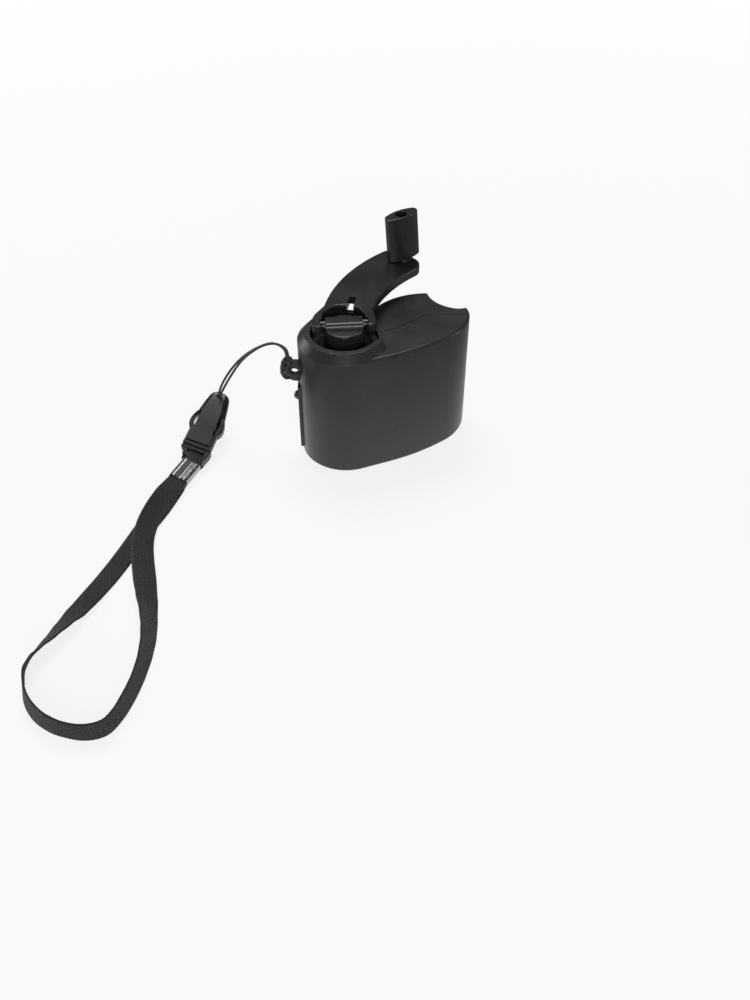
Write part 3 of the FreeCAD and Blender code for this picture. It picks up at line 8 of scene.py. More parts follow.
import bmesh
import bpy
from mathutils import Matrix, Vector
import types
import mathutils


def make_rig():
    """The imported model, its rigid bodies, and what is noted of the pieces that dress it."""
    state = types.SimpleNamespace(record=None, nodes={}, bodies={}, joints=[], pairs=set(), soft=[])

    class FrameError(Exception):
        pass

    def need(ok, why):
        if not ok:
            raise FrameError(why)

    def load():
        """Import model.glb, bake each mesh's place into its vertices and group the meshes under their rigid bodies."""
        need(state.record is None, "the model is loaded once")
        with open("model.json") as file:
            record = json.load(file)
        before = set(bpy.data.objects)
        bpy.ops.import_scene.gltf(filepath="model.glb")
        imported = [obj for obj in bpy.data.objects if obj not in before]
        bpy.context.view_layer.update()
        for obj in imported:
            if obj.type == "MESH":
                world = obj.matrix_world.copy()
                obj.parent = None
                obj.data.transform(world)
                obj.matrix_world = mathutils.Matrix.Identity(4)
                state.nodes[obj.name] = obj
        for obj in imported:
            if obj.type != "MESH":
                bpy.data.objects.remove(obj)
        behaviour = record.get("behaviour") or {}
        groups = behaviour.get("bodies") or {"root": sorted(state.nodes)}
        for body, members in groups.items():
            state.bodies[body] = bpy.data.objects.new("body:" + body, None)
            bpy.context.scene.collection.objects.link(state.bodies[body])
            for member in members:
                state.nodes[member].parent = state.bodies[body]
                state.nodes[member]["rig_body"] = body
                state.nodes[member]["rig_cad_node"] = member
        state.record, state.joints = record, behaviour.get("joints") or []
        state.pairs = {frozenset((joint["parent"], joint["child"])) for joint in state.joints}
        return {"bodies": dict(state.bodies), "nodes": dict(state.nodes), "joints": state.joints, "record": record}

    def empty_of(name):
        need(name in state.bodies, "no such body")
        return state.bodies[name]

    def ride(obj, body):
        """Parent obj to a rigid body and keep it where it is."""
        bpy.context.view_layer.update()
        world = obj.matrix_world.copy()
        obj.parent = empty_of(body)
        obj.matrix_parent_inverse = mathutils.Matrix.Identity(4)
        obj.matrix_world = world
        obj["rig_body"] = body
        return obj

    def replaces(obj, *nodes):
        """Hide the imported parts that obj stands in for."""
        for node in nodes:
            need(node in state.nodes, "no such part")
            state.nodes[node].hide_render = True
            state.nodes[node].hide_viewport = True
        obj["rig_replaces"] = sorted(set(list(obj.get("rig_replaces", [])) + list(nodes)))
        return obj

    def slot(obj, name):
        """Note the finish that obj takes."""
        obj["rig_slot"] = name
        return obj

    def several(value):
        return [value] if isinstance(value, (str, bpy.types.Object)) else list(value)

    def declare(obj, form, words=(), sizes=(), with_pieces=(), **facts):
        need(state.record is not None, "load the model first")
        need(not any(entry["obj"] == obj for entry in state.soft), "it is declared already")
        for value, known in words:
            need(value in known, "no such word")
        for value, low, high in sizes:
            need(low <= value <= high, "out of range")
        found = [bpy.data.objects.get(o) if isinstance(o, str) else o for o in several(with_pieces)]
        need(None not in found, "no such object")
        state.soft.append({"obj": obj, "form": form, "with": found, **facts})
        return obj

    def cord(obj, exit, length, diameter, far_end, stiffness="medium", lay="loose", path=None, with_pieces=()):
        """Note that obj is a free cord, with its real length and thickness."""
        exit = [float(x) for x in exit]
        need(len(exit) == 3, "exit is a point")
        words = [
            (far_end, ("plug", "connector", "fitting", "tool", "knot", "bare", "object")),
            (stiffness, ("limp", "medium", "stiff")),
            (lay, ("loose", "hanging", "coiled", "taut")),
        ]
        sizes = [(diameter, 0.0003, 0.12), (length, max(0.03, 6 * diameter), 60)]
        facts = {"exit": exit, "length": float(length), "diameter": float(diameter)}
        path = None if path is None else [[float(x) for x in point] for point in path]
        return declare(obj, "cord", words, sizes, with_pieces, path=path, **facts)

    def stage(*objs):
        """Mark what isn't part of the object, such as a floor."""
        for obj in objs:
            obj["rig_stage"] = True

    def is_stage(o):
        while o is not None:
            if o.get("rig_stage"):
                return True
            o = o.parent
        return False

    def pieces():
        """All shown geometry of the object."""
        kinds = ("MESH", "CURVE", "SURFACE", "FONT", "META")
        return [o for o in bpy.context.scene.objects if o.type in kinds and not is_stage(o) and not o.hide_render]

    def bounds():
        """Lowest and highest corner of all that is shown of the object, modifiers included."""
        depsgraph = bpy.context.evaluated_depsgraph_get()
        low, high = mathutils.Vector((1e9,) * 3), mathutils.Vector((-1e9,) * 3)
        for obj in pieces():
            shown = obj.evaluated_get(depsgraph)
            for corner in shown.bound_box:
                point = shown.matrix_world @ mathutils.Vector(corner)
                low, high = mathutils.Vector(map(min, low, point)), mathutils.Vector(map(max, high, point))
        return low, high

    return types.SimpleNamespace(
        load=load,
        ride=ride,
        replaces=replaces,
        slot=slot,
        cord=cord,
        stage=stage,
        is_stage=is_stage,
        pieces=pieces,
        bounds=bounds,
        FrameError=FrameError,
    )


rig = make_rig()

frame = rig.load()
CAD_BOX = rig.bounds()
NODES = frame["nodes"]
SCENE = bpy.context.scene
MM = 0.001
UP = Vector((0, 0, 1))
FULL_TURN = 2 * math.pi


# ---------------------------------------------------------------- materials
# lengths in metres, scales in cells per metre, turns in radians, spans as (low, high) of a texture's value
SOFT_EDGE = 0.00022
CLOUD_SCALE, CLOUD_SPAN, CLOUD_DARK = 90, (0.3, 0.7), 0.82
GRAIN_SCALE, GRAIN_DEPTH = 5200, 0.00002
SCRATCH_STRETCH, SCRATCH_TURN, SCRATCH_WIDTH = (330, 330, 26), (0.5, 0.65, 0.3), (0.03, 0.06)
SPECK_SCALE, SPECK_SIZE, SPECK_CHOICE = 230.0, (0.02, 0.045), (0.88, 0.9)
# painted shade: colour darkens to near black where ambient occlusion within this reach finds crevices such as the
# seam, and roughness rises there too
PAINTED_SHADE_REACH, PAINTED_SHADE_SPAN, CREVICE_ROUGH = 0.0006, (0.3, 0.75), 0.95
TARNISH_SCALE, TARNISH_SPAN, TARNISH_DARK = 260, (0.35, 0.7), 0.8
BRUSH_DEPTH = 0.00002
TRACK_SCALE, TRACK_SPAN, TRACK_DEPTH = 320.0, (0.04, 0.07), 0.00003
WOBBLE_SCALE, WOBBLE = 500, 0.00035
FIBRE_STRETCH, FIBRE_SHARE = (9000, 2500, 9000), 0.35
FADE_SCALE, FADE_SPAN, FADE_MOST = 70, (0.35, 0.65), 0.6
WEAVE_DEPTH, BRAID_DEPTH = 0.0002, 0.00008


class Paint:
    """One material and its node tree. Numbers that are the same everywhere go on the shader itself."""

    def __init__(self, name, **values):
        self.material = bpy.data.materials.new(name)
        self.material.use_nodes = True
        self.tree = self.material.node_tree
        self.shader = self.tree.nodes["Principled BSDF"]
        for socket, value in values.items():
            self.shader.inputs[socket.replace("_", " ")].default_value = value
        self.place = self.node("ShaderNodeTexCoord").outputs["Object"]

    def node(self, kind, settings=None, **inputs):
        made = self.tree.nodes.new(kind)
        for key, value in (settings or {}).items():
            setattr(made, key, value)
        for socket, value in inputs.items():
            target = made.inputs[int(socket[1:]) if socket[1:].isdigit() else socket.replace("_", " ")]
            self.feed(target, value)
        return made

    def feed(self, target, value):
        if isinstance(value, bpy.types.NodeSocket):
            self.tree.links.new(value, target)
        else:
            target.default_value = value

    def math(self, operation, first, second=0.0):
        return self.node("ShaderNodeMath", {"operation": operation}, i0=first, i1=second).outputs[0]

    def noise(self, scale, detail=3.0, roughness=0.5, place=None):
        return self.node("ShaderNodeTexNoise", Vector=place or self.place, Scale=scale, Detail=detail,
                         Roughness=roughness).outputs["Fac"]

    def stretched(self, stretch, turn=(0, 0, 0)):
        return self.node("ShaderNodeMapping", Vector=self.place, Scale=stretch, Rotation=turn).outputs[0]

    def span(self, value, low, high, start, end):
        """Map a value from low..high to start..end, clamped."""
        return self.node("ShaderNodeMapRange", {"clamp": True}, Value=value, From_Min=low, From_Max=high,
                         To_Min=start, To_Max=end).outputs[0]

    def blend(self, share, first, second):
        """The first colour where share is 0, the second where it is 1."""
        made = self.node("ShaderNodeMix", {"data_type": "RGBA"})
        self.feed(made.inputs["Factor"], share)
        self.feed(made.inputs[6], first)
        self.feed(made.inputs[7], second)
        return made.outputs[2]

    def colour(self, value):
        self.feed(self.shader.inputs["Base Color"], value)

    def roughness(self, value):
        self.feed(self.shader.inputs["Roughness"], value)

    def soft_edge(self):
        """Normals that round every sharp edge, so that it catches a thin line of light."""
        return self.node("ShaderNodeBevel", {"samples": 6}, Radius=SOFT_EDGE).outputs[0]

    def relief(self, height, distance, strength=1.0, under=None):
        """Bump from a height of 0..1; a second relief goes on top of the one under it."""
        bump = self.node("ShaderNodeBump", Height=height, Distance=distance, Strength=strength)
        if under:
            self.feed(bump.inputs["Normal"], under)
        self.feed(self.shader.inputs["Normal"], bump.outputs[0])
        return bump.outputs[0]


def grey(level, tint=0.0):
    """A grey, with a share more of blue where a tint is given."""
    return (level, level, level * (1 + tint), 1)


def darkened(colour, share):
    """The colour with its red, green and blue at this share of their level."""
    return (*(part * share for part in colour[:3]), 1)


def moulded(name, colour, rough, grain=0.25, dust=0.0, scratch=0.0, **values):
    """Moulded plastic: fine grain, cloudy gloss, soft edges, painted shade that darkens crevices, and where asked
    faint scratches and dust.
    """
    paint = Paint(name, **values)
    cloud = paint.noise(CLOUD_SCALE, 4)
    body = paint.blend(paint.span(cloud, *CLOUD_SPAN, 0, 1), darkened(colour, CLOUD_DARK), colour)
    shine = paint.span(cloud, *CLOUD_SPAN, *rough)
    if scratch:
        needle = paint.node("ShaderNodeTexVoronoi", Vector=paint.stretched(SCRATCH_STRETCH, SCRATCH_TURN),
                            Scale=1.0).outputs["Distance"]
        body = paint.blend(paint.span(needle, *SCRATCH_WIDTH, scratch, 0), body, grey(0.09))
    if dust:
        speck = paint.node("ShaderNodeTexVoronoi", Vector=paint.place, Scale=SPECK_SCALE)
        spot = paint.span(speck.outputs["Distance"], *SPECK_SIZE, 1, 0)
        chosen = paint.span(speck.outputs["Color"], *SPECK_CHOICE, 0, dust)
        body = paint.blend(paint.math("MULTIPLY", spot, chosen), body, grey(0.3))
    # painted shade: base colour darkened towards black where ambient occlusion finds crevices and recesses; roughness
    # is raised there as well
    openness = paint.node("ShaderNodeAmbientOcclusion", {"samples": 4}, Distance=PAINTED_SHADE_REACH).outputs["AO"]
    painted_shade = paint.span(openness, *PAINTED_SHADE_SPAN, 1, 0)
    paint.colour(paint.blend(painted_shade, body, grey(0.001)))
    paint.roughness(paint.math("MAXIMUM", shine, paint.math("MULTIPLY", painted_shade, CREVICE_ROUGH)))
    paint.relief(paint.noise(GRAIN_SCALE, 2), GRAIN_DEPTH, grain, paint.soft_edge())
    return paint.material


def metal(name, colour, rough, brush=(900, 900, 60), lines=0.3):
    """Metal with fine drawn lines and a little tarnish."""
    paint = Paint(name, Metallic=1.0)
    tarnish = paint.noise(TARNISH_SCALE, 4)
    dull = darkened(colour, TARNISH_DARK)
    paint.colour(paint.blend(paint.span(tarnish, *TARNISH_SPAN, 0, 1), colour, dull))
    paint.roughness(paint.span(tarnish, *CLOUD_SPAN, *rough))
    paint.relief(paint.noise(1.0, 3, place=paint.stretched(brush)), BRUSH_DEPTH, lines)
    return paint.material


def circuit(name):
    """Solder mask with copper tracks showing through."""
    paint = Paint(name, Roughness=0.3)
    tracks = paint.node("ShaderNodeTexVoronoi", {"feature": "DISTANCE_TO_EDGE", "distance": "MANHATTAN"},
                        Vector=paint.place, Scale=TRACK_SCALE).outputs["Distance"]
    mask, copper = (0.01, 0.09, 0.035, 1), (0.03, 0.2, 0.08, 1)
    paint.colour(paint.blend(paint.span(tracks, *TRACK_SPAN, 1, 0), mask, copper))
    paint.relief(tracks, TRACK_DEPTH, 0.4)
    return paint.material


def lens(name):
    """Clear dark resin of the lamp with a faint cloud in it."""
    paint = Paint(name, Coat_Weight=1.0, Coat_Roughness=0.03, IOR=1.55)
    cloud = paint.noise(700, 3)
    paint.colour(paint.blend(cloud, (0.006, 0.006, 0.009, 1), (0.03, 0.03, 0.036, 1)))
    paint.roughness(paint.span(cloud, *CLOUD_SPAN, 0.04, 0.1))
    return paint.material


def woven(name, dark, light, across, along):
    """Ribbed webbing with painted shade in the valleys between ribs: weft ribs that the warp crosses, over the
    ribbon's own metres (U across, V along).
    """
    paint = Paint(name, Sheen_Weight=0.35, Sheen_Roughness=0.45, Sheen_Tint=grey(0.5),
                  Specular_IOR_Level=0.35)
    where = paint.node("ShaderNodeSeparateXYZ", Vector=paint.node("ShaderNodeTexCoord").outputs["UV"])
    wobble = paint.math("MULTIPLY", paint.math("SUBTRACT", paint.noise(WOBBLE_SCALE, 2), 0.5), WOBBLE)
    warp = paint.math("SINE", paint.math("MULTIPLY", where.outputs["X"], FULL_TURN / across))
    weft = paint.math("MULTIPLY", paint.math("ADD", where.outputs["Y"], wobble), FULL_TURN / along)
    # neighbouring warp threads are half a rib apart
    shift = paint.math("MULTIPLY", paint.math("SIGN", warp), math.pi / 2)
    wave = paint.math("SINE", paint.math("ADD", weft, shift))
    rib = paint.math("MULTIPLY", paint.math("ABSOLUTE", warp),
                     paint.math("ADD", paint.math("MULTIPLY", wave, 0.5), 0.5))
    fibre = paint.noise(1.0, 4, 0.7, paint.stretched(FIBRE_STRETCH))
    height = paint.math("ADD", rib, paint.math("MULTIPLY", fibre, FIBRE_SHARE))
    fade = paint.blend(paint.span(paint.noise(FADE_SCALE, 3), *FADE_SPAN, 0, FADE_MOST), dark, light)
    # painted shade: colour falls to near black in the low valleys between ribs; the fade between dark and light is
    # random tone
    paint.colour(paint.blend(paint.span(height, 0.15, 1.0, 0, 1), grey(0.002), fade))
    paint.roughness(paint.span(height, 0.2, 1.1, 0.75, 0.5))
    paint.relief(height, WEAVE_DEPTH)
    return paint.material


def braided(name, dark, light, strands, pitch):
    """Braided string with painted shade in the valleys between strands: crossing strands over the tube's own U (round)
    and V (metres along).
    """
    paint = Paint(name, Sheen_Weight=0.2)
    where = paint.node("ShaderNodeSeparateXYZ", Vector=paint.node("ShaderNodeTexCoord").outputs["UV"])
    round_part = paint.math("MULTIPLY", where.outputs["X"], FULL_TURN * strands)
    along_part = paint.math("MULTIPLY", where.outputs["Y"], FULL_TURN / pitch)
    one, other = [paint.math("ABSOLUTE", paint.math("SINE", paint.math(lean, round_part, along_part)))
                  for lean in ("ADD", "SUBTRACT")]
    height = paint.math("MAXIMUM", one, other)
    # painted shade: colour darker in the valleys between strands and lighter on their crests
    paint.colour(paint.blend(paint.span(height, 0.5, 1, 0, 1), dark, light))
    paint.roughness(paint.span(height, 0.5, 1, 0.7, 0.42))
    paint.relief(height, BRAID_DEPTH, 0.8)
    return paint.material


CASE = moulded("case_plastic", grey(0.017, 0.05), (0.26, 0.36), 0.2, dust=0.5, scratch=0.35)
CRANK = moulded("crank_plastic", grey(0.016, 0.03), (0.22, 0.31), 0.2, dust=0.6, scratch=0.5)
BUCKLE = moulded("buckle_plastic", grey(0.009, 0.03), (0.28, 0.4), 0.3)
STEEL = metal("steel", (0.55, 0.55, 0.56, 1), (0.25, 0.4))
NICKEL = metal("nickel", (0.56, 0.545, 0.535, 1), (0.22, 0.3), (400, 400, 400), 0.05)
BRONZE = metal("bronze", (0.45, 0.3, 0.16, 1), (0.35, 0.5))
NYLON = moulded("gear_nylon", (0.78, 0.77, 0.7, 1), (0.35, 0.5), 0.2, Subsurface_Weight=0.1)
COPPER = metal("copper", (0.6, 0.28, 0.12, 1), (0.3, 0.4), (300, 300, 6000))
IRON = metal("iron", (0.2, 0.2, 0.2, 1), (0.4, 0.55), (60, 60, 6000))
BOARD = circuit("board_green")
CHIP = moulded("electronic_black", grey(0.02), (0.5, 0.6), 0.5)
CAN = metal("capacitor_sleeve", (0.6, 0.6, 0.62, 1), (0.2, 0.3))
CREAM = moulded("tongue_cream", (0.62, 0.53, 0.36, 1), (0.35, 0.5), 0.2, Subsurface_Weight=0.15)
BRASS = metal("contact_brass", (0.72, 0.47, 0.16, 1), (0.15, 0.28))
LENS = lens("lamp_lens")
STRING = braided("cord_black", grey(0.006), grey(0.022), 3, 0.0016)
WEBBING = woven("webbing_black", grey(0.026), grey(0.05), 0.0009, 0.0013)

FINISH = {
    CASE: ("front_shell", "rear_shell"),
    CRANK: ("crank_hub", "crank_arm", "crank_knob", "hinge_pin", "hub_bush"),
    BUCKLE: ("buckle_socket", "buckle_plug"),
    STEEL: ("casing_screw", "knob_spindle", "first_axle", "second_axle", "rotor_shaft", "frame_screws",
            "generator_screws", "generator_can", "gear_frame", "hub_clips", "axle_clips"),
    NICKEL: ("usb_shell", "strap_crimp"),
    BRONZE: ("rotor_pinion",),
    NYLON: ("drive_gear", "first_gear", "second_gear"),
    COPPER: ("filter_choke", "armature"),
    IRON: ("generator_magnets",),
    BOARD: ("circuit_board",),
    CHIP: ("regulator_chip", "rectifier_diodes", "generator_end_cap"),
    CAN: ("smoothing_capacitor",),
    CREAM: ("usb_tongue",),
    BRASS: ("usb_contacts",),
    LENS: ("status_lamp",),
    STRING: ("string_knot", "lanyard_string_left", "lanyard_string_right"),
    WEBBING: ("strap_tab", "wrist_strap"),
}
for material, names in FINISH.items():
    for name in names:
        NODES[name].data.materials.clear()
        NODES[name].data.materials.append(material)


# ---------------------------------------------------------------- routes, tubes and ribbons
def route_line(name, points, steps=16):
    """Points along the smooth line of a route whose control points are given in millimetres."""
    curve = bpy.data.curves.new(name + "_route", "CURVE")
    curve.dimensions = "3D"
    spline = curve.splines.new("NURBS")
    spline.points.add(len(points) - 1)
    for control, point in zip(spline.points, points):
        control.co = (*(Vector(point[:3]) * MM), 1)
    spline.order_u = 3
    spline.use_endpoint_u = True
    spline.resolution_u = steps
    holder = bpy.data.objects.new(name + "_route", curve)
    mesh = bpy.data.meshes.new_from_object(holder)
    line = [vertex.co.copy() for vertex in mesh.vertices]
    bpy.data.objects.remove(holder)
    bpy.data.meshes.remove(mesh)
    return line


def distances(line):
    """Distance along the line at each of its points."""
    along = [0.0]
    for before, after in zip(line, line[1:]):
        along.append(along[-1] + (after - before).length)
    return along


def heading(line, i):
    """Direction of the line at one of its points."""
    return (line[min(i + 1, len(line) - 1)] - line[max(i - 1, 0)]).normalized()


def linked(name, data):
    made = bpy.data.objects.new(name, data)
    SCENE.collection.objects.link(made)
    return made


def finished(name, work, material):
    """The piece that a closed bmesh becomes."""
    bmesh.ops.recalc_face_normals(work, faces=work.faces)
    mesh = bpy.data.meshes.new(name)
    work.to_mesh(mesh)
    work.free()
    mesh.materials.append(material)
    return linked(name, mesh)


def skin(name, rings, uvs, material):
    """A closed surface through rings of points, with flat caps.

    uvs has the places of each ring's points and then the place where the ring closes.
    """
    work = bmesh.new()
    layer = work.loops.layers.uv.new("UVMap")
    made = [[work.verts.new(point) for point in ring] for ring in rings]
    count = len(rings[0])
    for i in range(len(rings) - 1):
        for k in range(count):
            after = (k + 1) % count
            face = work.faces.new((made[i][k], made[i][after], made[i + 1][after], made[i + 1][k]))
            face.smooth = True
            places = (uvs[i][k], uvs[i][k + 1], uvs[i + 1][k + 1], uvs[i + 1][k])
            for loop, place in zip(face.loops, places):
                loop[layer].uv = place
    for ring in (made[0][::-1], made[-1]):
        work.faces.new(ring)
    return finished(name, work, material)


def tube(name, line, radius, material, sides=12):
    """A round tube along a line, its section carried along without twist."""
    along = distances(line)
    side = heading(line, 0).orthogonal().normalized()
    rings, uvs = [], []
    for i, point in enumerate(line):
        ahead = heading(line, i)
        side = (side - ahead * side.dot(ahead)).normalized()
        other = ahead.cross(side)
        turns = [FULL_TURN * k / sides for k in range(sides + 1)]
        rings.append([point + (side * math.cos(t) + other * math.sin(t)) * radius for t in turns[:-1]])
        uvs.append([(t / FULL_TURN, along[i]) for t in turns])
    return skin(name, rings, uvs, material)


# ---------------------------------------------------------------- string from the knot to the buckle
STRING_DIAMETER, HITCH_DIAMETER, HITCH_STEPS = 0.86, 1.1, 10
STRING_ROUTES = {
    "lanyard_string_left": (
        (-20.05, .2, 36.5), (-19.95, .25, 39.6), (-20.9, .5, 42.0), (-24.3, 1.7, 43.2), (-28.4, 3.0, 41.2),
        (-32.9, 4.5, 37.7), (-37.0, 5.8, 33.5), (-41.2, 7.15, 27.7), (-44.4, 8.2, 21.9), (-46.3, 8.6, 17.4),
        (-46.75, 9.2, 14.0)),
    "lanyard_string_right": (
        (-19.35, -.6, 37.0), (-19.3, -.6, 40.1), (-20.2, -.3, 42.5), (-23.9, .9, 43.6), (-28.2, 2.3, 41.6),
        (-32.6, 3.7, 37.8), (-36.2, 4.9, 33.8), (-39.9, 6.1, 27.9), (-43.2, 7.2, 21.8), (-45.5, 7.9, 17.2),
        (-46.4, 8.7, 14.0)),
}
for node, points in STRING_ROUTES.items():
    line = route_line(node, points)
    strand = tube(node.replace("lanyard_", ""), line, STRING_DIAMETER / 2 * MM, STRING)
    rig.ride(strand, "case")
    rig.replaces(strand, node)
    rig.slot(strand, "cord_black")
    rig.cord(strand, exit=line[0], length=distances(line)[-1], diameter=STRING_DIAMETER * MM, far_end="object",
            stiffness="limp", lay="loose", path=line)

# hitch round the outer limb of the lanyard eye: three turns, two strands that cross them, and a collar above
KNOT_ROUTES = (
    ((-19.0, -0.5, 34.2), (-19.0, -1.8, 34.1), (-20.2, -2.0, 35.0), (-21.4, -1.7, 35.7), (-21.7, 0.0, 35.9),
     (-21.4, 1.7, 35.7), (-20.1, 2.0, 34.9), (-18.9, 1.7, 34.0), (-18.8, 0.2, 33.9)),
    ((-19.1, -0.5, 33.4), (-19.1, -1.8, 33.4), (-20.5, -2.0, 33.8), (-21.8, -1.7, 34.2), (-22.0, 0.0, 34.2),
     (-21.8, 1.7, 34.2), (-20.4, 2.0, 33.7), (-19.1, 1.7, 33.4), (-19.0, 0.2, 33.3)),
    ((-19.2, -0.5, 32.5), (-19.3, -1.8, 32.4), (-20.5, -2.0, 32.4), (-21.8, -1.7, 32.5), (-22.1, 0.0, 32.5),
     (-21.8, 1.7, 32.5), (-20.4, 2.0, 32.5), (-19.2, 1.7, 32.7), (-19.1, 0.2, 32.7)),
    ((-20.0, 0.3, 38.0), (-20.8, -0.7, 37.5), (-21.3, -1.6, 36.6), (-21.6, -2.3, 35.4), (-21.5, -2.6, 33.6),
     (-21.1, -2.5, 31.9), (-20.1, -1.8, 30.7), (-19.3, -0.4, 30.2)),
    ((-19.3, -0.6, 38.2), (-18.9, -1.6, 37.3), (-19.4, -2.1, 36.3), (-20.0, -2.7, 35.2), (-19.9, -2.6, 33.8),
     (-19.4, -1.9, 32.6), (-18.9, -0.4, 32.2)),
    ((-18.4, -0.2, 37.1), (-18.9, -1.5, 37.4), (-20.2, -1.5, 37.3), (-21.2, -0.8, 36.8), (-21.1, 0.7, 36.8),
     (-20.1, 1.5, 37.3), (-18.9, 1.3, 37.4), (-18.4, 0.2, 37.2)),
)
for i, points in enumerate(KNOT_ROUTES):
    line = route_line(f"hitch_{i + 1}", points, HITCH_STEPS)
    turn = tube(f"string_hitch_{i + 1}", line, HITCH_DIAMETER / 2 * MM, STRING)
    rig.ride(turn, "case")
    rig.replaces(turn, "string_knot")
    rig.slot(turn, "cord_black")


# ---------------------------------------------------------------- buckle, webbing tab and crimp
def turned(axis, degrees):
    """A turn about an axis through the origin."""
    return Matrix.Rotation(math.radians(degrees), 4, axis)


# the buckle's frame starts at its top; y of the bar in it, and the degrees that the webbing turns by there
BAR_Y, CRIMP_TURN = -28, -22.4
BUCKLE_FRAME = (Matrix.Translation((-46.1, 11.3, 13.65)) @ turned("Z", -20.7) @ turned("X", 21.8)
                @ turned("Y", 14))
CRIMP_FRAME = BUCKLE_FRAME @ Matrix.Translation((0, BAR_Y, 0)) @ turned("X", CRIMP_TURN)
# the crimp sits a little askew on the bar
SLEEVE_FRAME = CRIMP_FRAME @ Matrix.Translation((1.25, 0.1, 0)) @ turned("Z", -6.5)
# edges that turn by more than this many degrees are rounded
ROUND_ANGLE = 25


def held(points, at_frame):
    """Points in millimetres of a piece's own frame, in metres of the model."""
    return [at_frame @ Vector(point) * MM for point in points]


def loft(name, rings):
    """A piece of the buckle through rings in its frame; the plastic needs no more than plain UVs."""
    count = len(rings[0])
    uvs = [[(k / count, i * MM) for k in range(count + 1)] for i in range(len(rings))]
    return skin(name, [held(ring, BUCKLE_FRAME) for ring in rings], uvs, BUCKLE)


def block(name, outline, low, high):
    """An outline in x and y, thick from low to high."""
    return loft(name, [[(x, y, z) for x, y in outline] for z in (low, high)])


def box(name, x_span, y_span, half_thick):
    """A block with a rectangle for its outline, as thick above the middle as below."""
    (x0, x1), (y0, y1) = x_span, y_span
    return block(name, ((x0, y0), (x1, y0), (x1, y1), (x0, y1)), -half_thick, half_thick)


def shaped(piece, rounding, cutters=()):
    """Cut the piece with other closed meshes and round its edges by so many millimetres; the cutters go."""
    for cutter in cutters:
        change = piece.modifiers.new("cut", "BOOLEAN")
        change.operation, change.solver, change.object = "DIFFERENCE", "EXACT", cutter
    change = piece.modifiers.new("round", "BEVEL")
    change.width, change.segments, change.limit_method = rounding * MM, 2, "ANGLE"
    change.angle_limit = math.radians(ROUND_ANGLE)
    change.use_clamp_overlap, change.harden_normals = True, True
    bpy.context.view_layer.update()
    done = bpy.data.meshes.new_from_object(piece.evaluated_get(bpy.context.evaluated_depsgraph_get()))
    piece.modifiers.clear()
    old, piece.data = piece.data, done
    bpy.data.meshes.remove(old)
    for cutter in cutters:
        bpy.data.objects.remove(cutter)
    return piece


def stands_for(piece, node, slot):
    """A piece that rides on the case and takes the place of one of its solids."""
    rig.ride(piece, "case")
    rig.replaces(piece, node)
    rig.slot(piece, slot)


# y, half width of the flat face, half width at the flanks, half thickness
SOCKET_SECTIONS = (
    (0.0, 1.6, 2.5, 1.9), (-0.5, 1.9, 3.15, 2.35), (-1.6, 2.15, 3.75, 2.6), (-4.2, 2.5, 4.35, 2.75),
    (-8.4, 3.45, 5.1, 2.85), (-12.5, 3.85, 5.35, 2.95), (-17.2, 3.95, 5.35, 3.06), (-21.9, 4.1, 5.35, 3.17))
# each flank bends this far inside its widest, at this share of the half thickness
SHOULDER_IN, SHOULDER_SHARE = 0.15, 0.42
# outline of the window in the right flank, and half a thickness that goes right through the socket
WINDOW = ((3.75, -17.1), (7, -17.1), (7, -8.7), (4.2, -8.7), (3.55, -9.7))
THROUGH = 4
HOLE_Y, HOLE_WIDTH, HOLE_LENGTH, HOLE_POINTS = -1.9, 1.9, 1.5, 16
SOCKET_ROUNDING, WING_ROUNDING, PLUG_ROUNDING = 0.28, 0.3, 0.22
WING_HALF, BAR_DIAMETER = 1.7, 1.6


def socket_ring(y, top, widest, thick):
    """Section of the socket: flat top and bottom faces between sloping flanks."""
    shoulder, shoulder_z = widest - SHOULDER_IN, thick * SHOULDER_SHARE
    half = [(top, thick), (shoulder, shoulder_z), (widest, 0), (shoulder, -shoulder_z), (top, -thick)]
    return [(x, y, z) for x, z in half] + [(-x, y, z) for x, z in half[::-1]]


def mirrored(outline, side):
    """A right-hand outline as it is for side 1, or for -1 on the left, where it still turns the same way."""
    return [(side * x, y) for x, y in outline][::side]


def make_socket():
    """The socket with the room for the plug, a window in each flank and the hole for the string."""
    shell = loft("buckle_socket_shell", [socket_ring(*row) for row in SOCKET_SECTIONS])
    cutters = [box("socket_room", (-4.3, 4.3), (-23, -8.2), 1.9)]
    for side in (-1, 1):
        cutters.append(block(f"socket_side_{side}", mirrored(WINDOW, side), -THROUGH, THROUGH))
    turns = [FULL_TURN * k / HOLE_POINTS for k in range(HOLE_POINTS)]
    hole = [(HOLE_WIDTH / 2 * math.cos(t), HOLE_Y + HOLE_LENGTH / 2 * math.sin(t)) for t in turns]
    cutters.append(block("socket_hole", hole, -THROUGH, THROUGH))
    return shaped(shell, SOCKET_ROUNDING, cutters)


def make_wing(name, side, inner):
    """A springy wing of the plug; inner is where its inner face bows out to."""
    outline = (
        (2.9, -23.2), (4.5, -23.2), (4.55, -17.9), (4.95, -16.9), (5.75, -16.2), (6.3, -14.9), (6.4, -13.4),
        (6.1, -11.7), (5.6, -10.3), (5.1, -9.2), (4.3, -8.9), (inner - 0.8, -9.7), (inner - 0.3, -10.8),
        (inner, -12.1), (inner, -13.3), (inner - 0.4, -14.4), (inner - 1.0, -15.4), (3.2, -17.2))
    return shaped(block(f"buckle_wing_{name}", mirrored(outline, side), -WING_HALF, WING_HALF), WING_ROUNDING)


